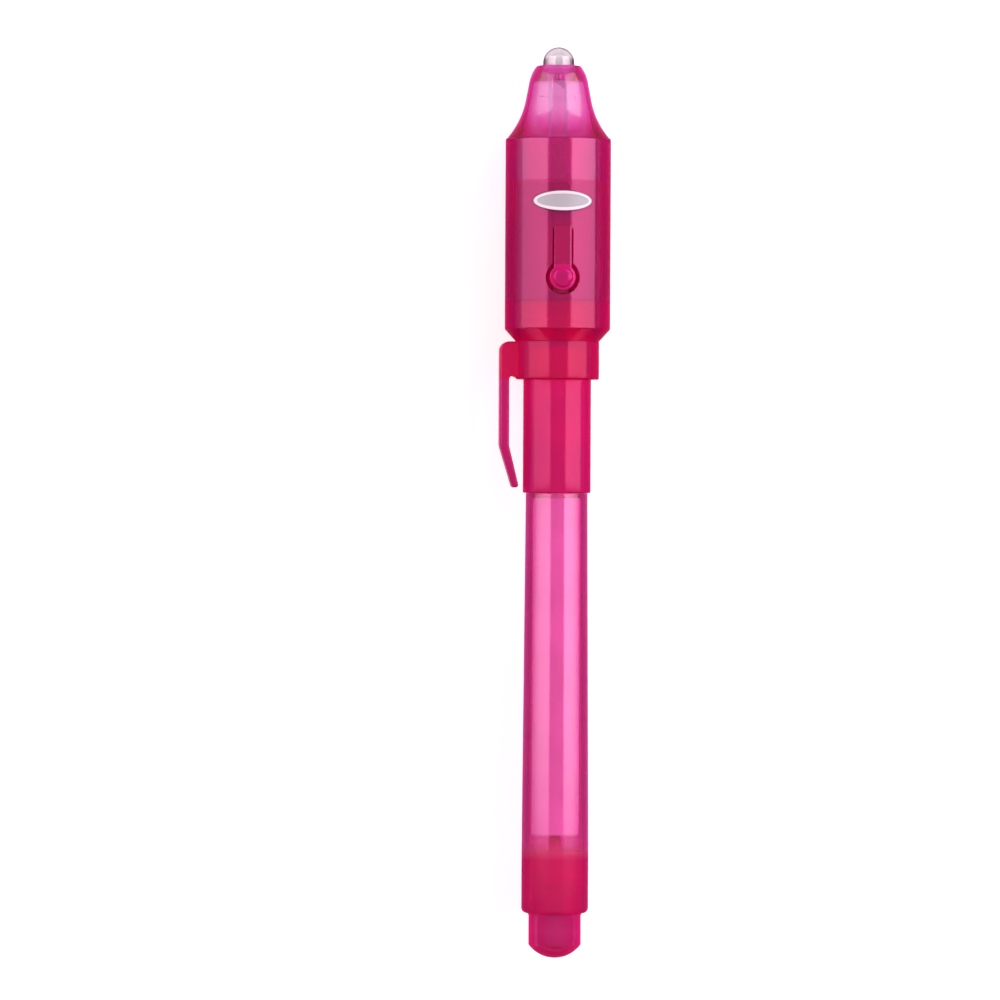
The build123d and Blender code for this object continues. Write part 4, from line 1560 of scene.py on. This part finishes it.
@dataclass
class Nose:
    """Flared nose with the clear lamp in its tip."""

    wardrobe: Wardrobe
    tip_radius: float = 3.45
    tip_edge: float = 0.3
    shoulder_radius: float = 4.57
    shoulder_drop: float = 2.5
    waist_radius: float = 5.1
    waist_drop: float = 5.3
    waist_round: float = 3.0
    wall: float = 0.7
    crown: float = 2.4
    bell_round: float = 1.0  # rounding inside the bell's wide end
    bell_steps: int = 32  # faces along the bell
    bell_cut: int = 2  # of which these give way to its lower edge
    bell_edge: float = 0.08
    brow_steps: int = 20  # faces round the tip's shoulder
    spigot_length: float = 6.5
    spigot_radius: float = 6.84
    spigot_wall: float = 1.3
    groove: float = 0.8
    groove_depth: float = 0.25
    groove_drop: float = 2.2
    notch_length: float = 2.0  # room in the spigot for the lead
    lamp_hole: float = 2.51
    lamp_radius: float = 2.45
    flange: float = 1.0
    flat: float = 2.5
    dome_skin: float = 0.15
    dome_foot: float = 0.2  # further thickness of the dome's skin at the nose's tip, which paints shade at the dome's foot
    dome_steps: int = 28  # faces from the dome's foot to its top
    foot_steps: int = 7  # of which the foot takes up these inside
    lead: float = 0.5
    lead_gap: float = 0.1
    wire_radius: float = 0.02
    wire_rise: float = 0.35
    wire_steps: int = 24

    def build(self) -> None:
        """Builds and dresses the nose and its lamp."""
        dress = self.wardrobe.dress
        spigot_end = Extent.of("nose_cone").start + self.spigot_length
        finish = replace(LILAC_PINK, zones=((spigot_end, SPIGOT_ZONE),))
        dress(self.flare(), finish, Body.NOSE, "nose_cone")
        dress(self.dome(), EDGE_SHADED_EPOXY, Body.NOSE, "led_lens")
        dress(self.lens(), EPOXY, Body.NOSE, "led_lens")
        dress(self.bond_wire(), GOLD, Body.NOSE)
        self.wardrobe.paint("led_cathode", TINNED)
        self.wardrobe.paint("led_anode", TINNED)
        self.wardrobe.paint("led_chip", DIE)

    def flare(self) -> Piece:
        """Bell-shaped nose with a solid rounded tip that holds the lamp, and a grooved spigot in the head.

        Returns:
            The new piece.
        """
        packed = Extent.of("nose_cone")
        tip = packed.end
        base = packed.start + self.spigot_length
        shoulder = np.array([self.shoulder_radius, tip - self.shoulder_drop])
        waist = np.array([self.waist_radius, tip - self.waist_drop])
        side = shoulder - waist
        bell = tangent_arc(tuple(waist), tuple(-side), (packed.radius, base), self.bell_steps)[::-1]
        brow = tangent_arc(tuple(shoulder), tuple(side), (self.tip_radius, tip), self.brow_steps)
        bore = self.spigot_radius - self.spigot_wall
        crown = tip - self.crown
        valley = self.spigot_radius - self.groove_depth
        groove_start = base - self.groove_drop - self.groove / 2
        groove_end = base - self.groove_drop + self.groove / 2
        rest = [
            (self.tip_radius, tip, self.tip_edge),
            (self.lamp_hole, tip, Edge.BROKEN),
            (self.lamp_hole, crown, Edge.BROKEN),
            (self.shoulder_radius - self.wall, crown, Edge.ROUND),
            (self.waist_radius - self.wall, waist[1], self.waist_round),
            (self.spigot_radius - 2 * self.wall, base + 2 * self.wall, self.bell_round),
            (self.spigot_radius - self.wall, base, Edge.ROUND),
            (bore, base - self.wall, Edge.ROUND),
            (bore, packed.start, Edge.SOFT),
            (self.spigot_radius, packed.start, Edge.ROUND),
            (self.spigot_radius, groove_start, Edge.CRISP),
            (valley, groove_start, Edge.CRISP),
            (valley, groove_end, Edge.CRISP),
            (self.spigot_radius, groove_end, Edge.CRISP),
            (self.spigot_radius, base, Edge.CRISP),
            (packed.radius - self.bell_edge, base, Edge.SHARP),
            (packed.radius, base + self.bell_edge, Edge.SHARP),
        ]
        profile = np.vstack([plain(bell[self.bell_cut :]), plain(brow[:-1]), np.array(rest, float)])
        flare = make_piece("nose_flare", [lathe(profile, closed=True)])
        combine(flare, self.notch(packed.start), Join.CUT)
        return flare

    def notch(self, start: float) -> Piece:
        """Block that is cut from the spigot's end, so that the longer lead lies free in it.

        Args:
            start: The spigot's end along the pen.

        Returns:
            The block.
        """
        lead = Extent.of("led_cathode")
        half = self.lead / 2 + self.lead_gap
        x = float(lead.high[0]) - self.lead / 2
        foot = start - OVERSHOOT
        top = start + self.notch_length
        outline = np.array([(x - half, foot), (x + half, foot), (x + half, top), (x - half, top)])
        low = float(lead.high[2]) - self.lead - self.lead_gap
        walls, ends = slab(outline, low, low + 2 * half)
        return make_piece("notch", [walls], ends)

    def dome(self) -> Piece:
        """Round top of the lamp, outside the nose: a grey skin that thickens towards the nose's tip, whose dark
        edges and dark foot are painted shade.

        Returns:
            The new piece.
        """
        end = Extent.of("led_lens").end
        tip = Extent.of("nose_cone").end
        centre = end - self.lamp_radius
        core = self.lamp_radius - self.dome_skin
        outside = tangent_arc((self.lamp_radius, centre), (0.0, 1.0), (0.0, end), self.dome_steps)
        inside = tangent_arc((core, centre), (0.0, 1.0), (0.0, centre + core), self.dome_steps)
        foot = [
            (core - self.dome_foot, centre + self.dome_foot, Edge.EASED),
            (core - self.dome_foot, tip, Edge.SHARP),
            (self.lamp_radius, tip, Edge.SHARP),
        ]
        inner = plain(inside[self.foot_steps :][::-1])
        return make_piece("lamp_dome", [lathe(np.vstack([inner, np.array(foot, float), plain(outside)]))])

    def lens(self) -> Piece:
        """Clear body of the lamp inside the nose, on a flange that is cut flat on one side.

        Returns:
            The new piece.
        """
        packed = Extent.of("led_lens")
        top = Extent.of("nose_cone").end - SEAM
        shelf = packed.start + self.flange
        profile = [
            (0.0, top, Edge.SHARP),
            (self.lamp_radius, top, Edge.CRISP),
            (self.lamp_radius, shelf, Edge.EASED),
            (packed.radius, shelf, Edge.SOFT),
            (packed.radius, packed.start, Edge.FINE),
            (0.0, packed.start, Edge.SHARP),
        ]
        body = lathe(profile)
        body.points[..., 0] = np.minimum(body.points[..., 0], self.flat)
        return make_piece("lamp_lens", [body])

    def bond_wire(self) -> Piece:
        """Hair-thin wire from the chip to the anode's post.

        At the share u of its way, it is a straight line raised by 4 u (1 - u) times its rise.

        Returns:
            The new piece.
        """
        chip = Extent.of("led_chip")
        post = Extent.of("led_anode")
        share = np.linspace(0, 1, self.wire_steps + 1)[:, None]
        start = np.array([0.0, chip.end, 0.0])
        end = np.array([float(post.low[0]) + self.lead / 2, post.end, 0.0])
        path = start + share * (end - start)
        path[:, 1:2] += 4 * share * (1 - share) * self.wire_rise
        wire, ends = tube(path, self.wire_radius)
        return make_piece("bond_wire", [wire], ends)


# The studio


@dataclass(frozen=True)
class SoftBox:
    """A tall lamp beside the camera."""

    angle: float  # degrees from the camera to its middle, to the right if positive
    half: float  # degrees from its middle to its edge
    glow: float  # its brightness, where 1 is white


@dataclass
class Studio:
    """White table, two tall soft boxes beside the camera, and the camera above the pen."""

    turn: float = 5.2  # degrees by which the camera stands towards the clip
    roll: float = 0.28  # degrees by which the pen leans in the picture
    picture: float = 155.35  # width of the picture at the pen's axis
    middle: Pair = (-8.79, 63.68)  # picture's middle, from the pen's axis and along it
    lens: float = 200.0
    sensor: float = 36.0
    boxes: tuple[SoftBox, ...] = (SoftBox(-54.0, 31.0, 2.2), SoftBox(59.0, 30.0, 2.85))
    box_far: float = 1200.0  # distance of the boxes
    box_start: float = -45.0  # where the boxes start along the pen
    box_end: float = 1290.0  # and end, far beyond the lamp, so that the nose mirrors them too
    box_watts: float = 4.0  # per square metre of a box's face, for a brightness of 1
    room_low: float = 0.05  # brightness of the room at the horizon
    room_high: float = 0.5  # and overhead
    table_glow: float = 0.35  # light that the white table adds where it is mirrored or seen through the pen
    table_white: float = 0.46  # and where the camera sees it
    table_half: float = 3000.0
    paper_dark: Colour = (0.90, 0.90, 0.90)
    paper_light: Colour = (0.92, 0.92, 0.92)
    paper_cloud: float = 60.0  # width of the paper's lighter and darker spots
    paper_grain: float = 0.8
    paper_depth: float = 0.004
    paper_gloss: Pair = (0.75, 0.85)
    paper_shine: float = 0.2

    def build(self) -> None:
        """Sets up table, lamps, room and camera."""
        bpy.context.scene.view_settings.view_transform = "Standard"
        self.table()
        for box in self.boxes:
            self.lamp(box)
        self.room()
        self.camera()

    def table(self) -> None:
        """Wide pale table top that the head rests on."""
        height = -Extent.of("head_shell").radius
        line = np.array([-self.table_half, self.table_half])
        x, y = np.meshgrid(line, line, indexing="ij")
        flat = Patch(np.stack([x, y, height + 0 * x], axis=-1), columns_close=False)
        top = make_piece("table_top", [flat])
        graph = Graph("table_paper")
        grain = graph.noise(self.paper_grain)
        path = graph.add("ShaderNodeLightPath").outputs
        glow: Value = 0.0
        rays = {
            "Is Glossy Ray": self.table_glow,
            "Is Transmission Ray": self.table_glow,
            "Is Camera Ray": self.table_white,
        }
        for ray, strength in rays.items():
            glow = graph.scaled(path[ray], (0.0, 1.0), glow, strength)
        sockets = {
            "Base Color": graph.shades(graph.noise(self.paper_cloud), self.paper_dark, self.paper_light),
            "Roughness": graph.ranged(grain, *self.paper_gloss),
            "Specular IOR Level": self.paper_shine,
            "Normal": graph.bump(grain, self.paper_depth),
            "Emission Color": (1.0, 1.0, 1.0, 1.0),
            "Emission Strength": glow,
        }
        top.data.materials.append(graph.close(graph.surface(sockets)))

    def lamp(self, box: SoftBox) -> None:
        """Upright lamp at one side of the camera, with the same brightness all over its face.

        Args:
            box: Its place, width and brightness.
        """
        width = 2 * self.box_far * math.tan(math.radians(box.half)) * MM
        length = (self.box_end - self.box_start) * MM
        lamp = bpy.data.lights.new("soft_box", "AREA")
        lamp.shape = "RECTANGLE"
        lamp.size = width
        lamp.size_y = length
        lamp.energy = self.box_watts * box.glow * width * length
        stand = bpy.data.objects.new("soft_box", lamp)
        angle = math.radians(box.angle - self.turn)
        stand.location = (
            math.sin(angle) * self.box_far * MM,
            (self.box_start + self.box_end) / 2 * MM,
            math.cos(angle) * self.box_far * MM,
        )
        stand.rotation_euler = (0.0, angle, 0.0)
        stand.visible_camera = False
        bpy.context.scene.collection.objects.link(stand)

    def room(self) -> None:
        """Dim room that brightens from the horizon to the ceiling with the square of the height."""
        world = bpy.data.worlds.new("room")
        world.use_nodes = True
        tree = world.node_tree
        sight = tree.nodes.new("ShaderNodeTexCoord")
        parts = tree.nodes.new("ShaderNodeSeparateXYZ")
        square = tree.nodes.new("ShaderNodeMath")
        square.operation = "MULTIPLY"
        strength = tree.nodes.new("ShaderNodeMapRange")
        strength.inputs["To Min"].default_value = self.room_low
        strength.inputs["To Max"].default_value = self.room_high
        tree.links.new(sight.outputs["Generated"], parts.inputs["Vector"])
        tree.links.new(parts.outputs["Z"], square.inputs[0])
        tree.links.new(parts.outputs["Z"], square.inputs[1])
        tree.links.new(square.outputs["Value"], strength.inputs["Value"])
        tree.links.new(strength.outputs["Result"], tree.nodes["Background"].inputs["Strength"])
        tree.nodes["Background"].inputs["Color"].default_value = (1.0, 1.0, 1.0, 1.0)
        bpy.context.scene.world = world

    def camera(self) -> None:
        """Long lens straight above the pen, turned a little towards the clip."""
        data = bpy.data.cameras.new("camera")
        data.lens = self.lens
        data.sensor_width = self.sensor
        eye = bpy.data.objects.new("camera", data)
        turn = math.radians(self.turn)
        across, along = (value * MM for value in self.middle)
        far = self.picture * MM * self.lens / self.sensor
        eye.location = (
            across * math.cos(turn) - far * math.sin(turn),
            along,
            across * math.sin(turn) + far * math.cos(turn),
        )
        eye.rotation_mode = "YXZ"
        eye.rotation_euler = (0.0, -turn, math.radians(self.roll))
        bpy.context.scene.collection.objects.link(eye)
        bpy.context.scene.camera = eye


def main() -> None:
    """Builds the pen's sub-assemblies and the studio."""
    logging.basicConfig(level=logging.INFO, format="%(name)s: %(message)s")
    wardrobe = Wardrobe({})
    for assembly in (WritingEnd(wardrobe), CapTube(wardrobe), LampHead(wardrobe), Nose(wardrobe)):
        assembly.build()
    Studio().build()


if __name__ == "__main__":
    main()
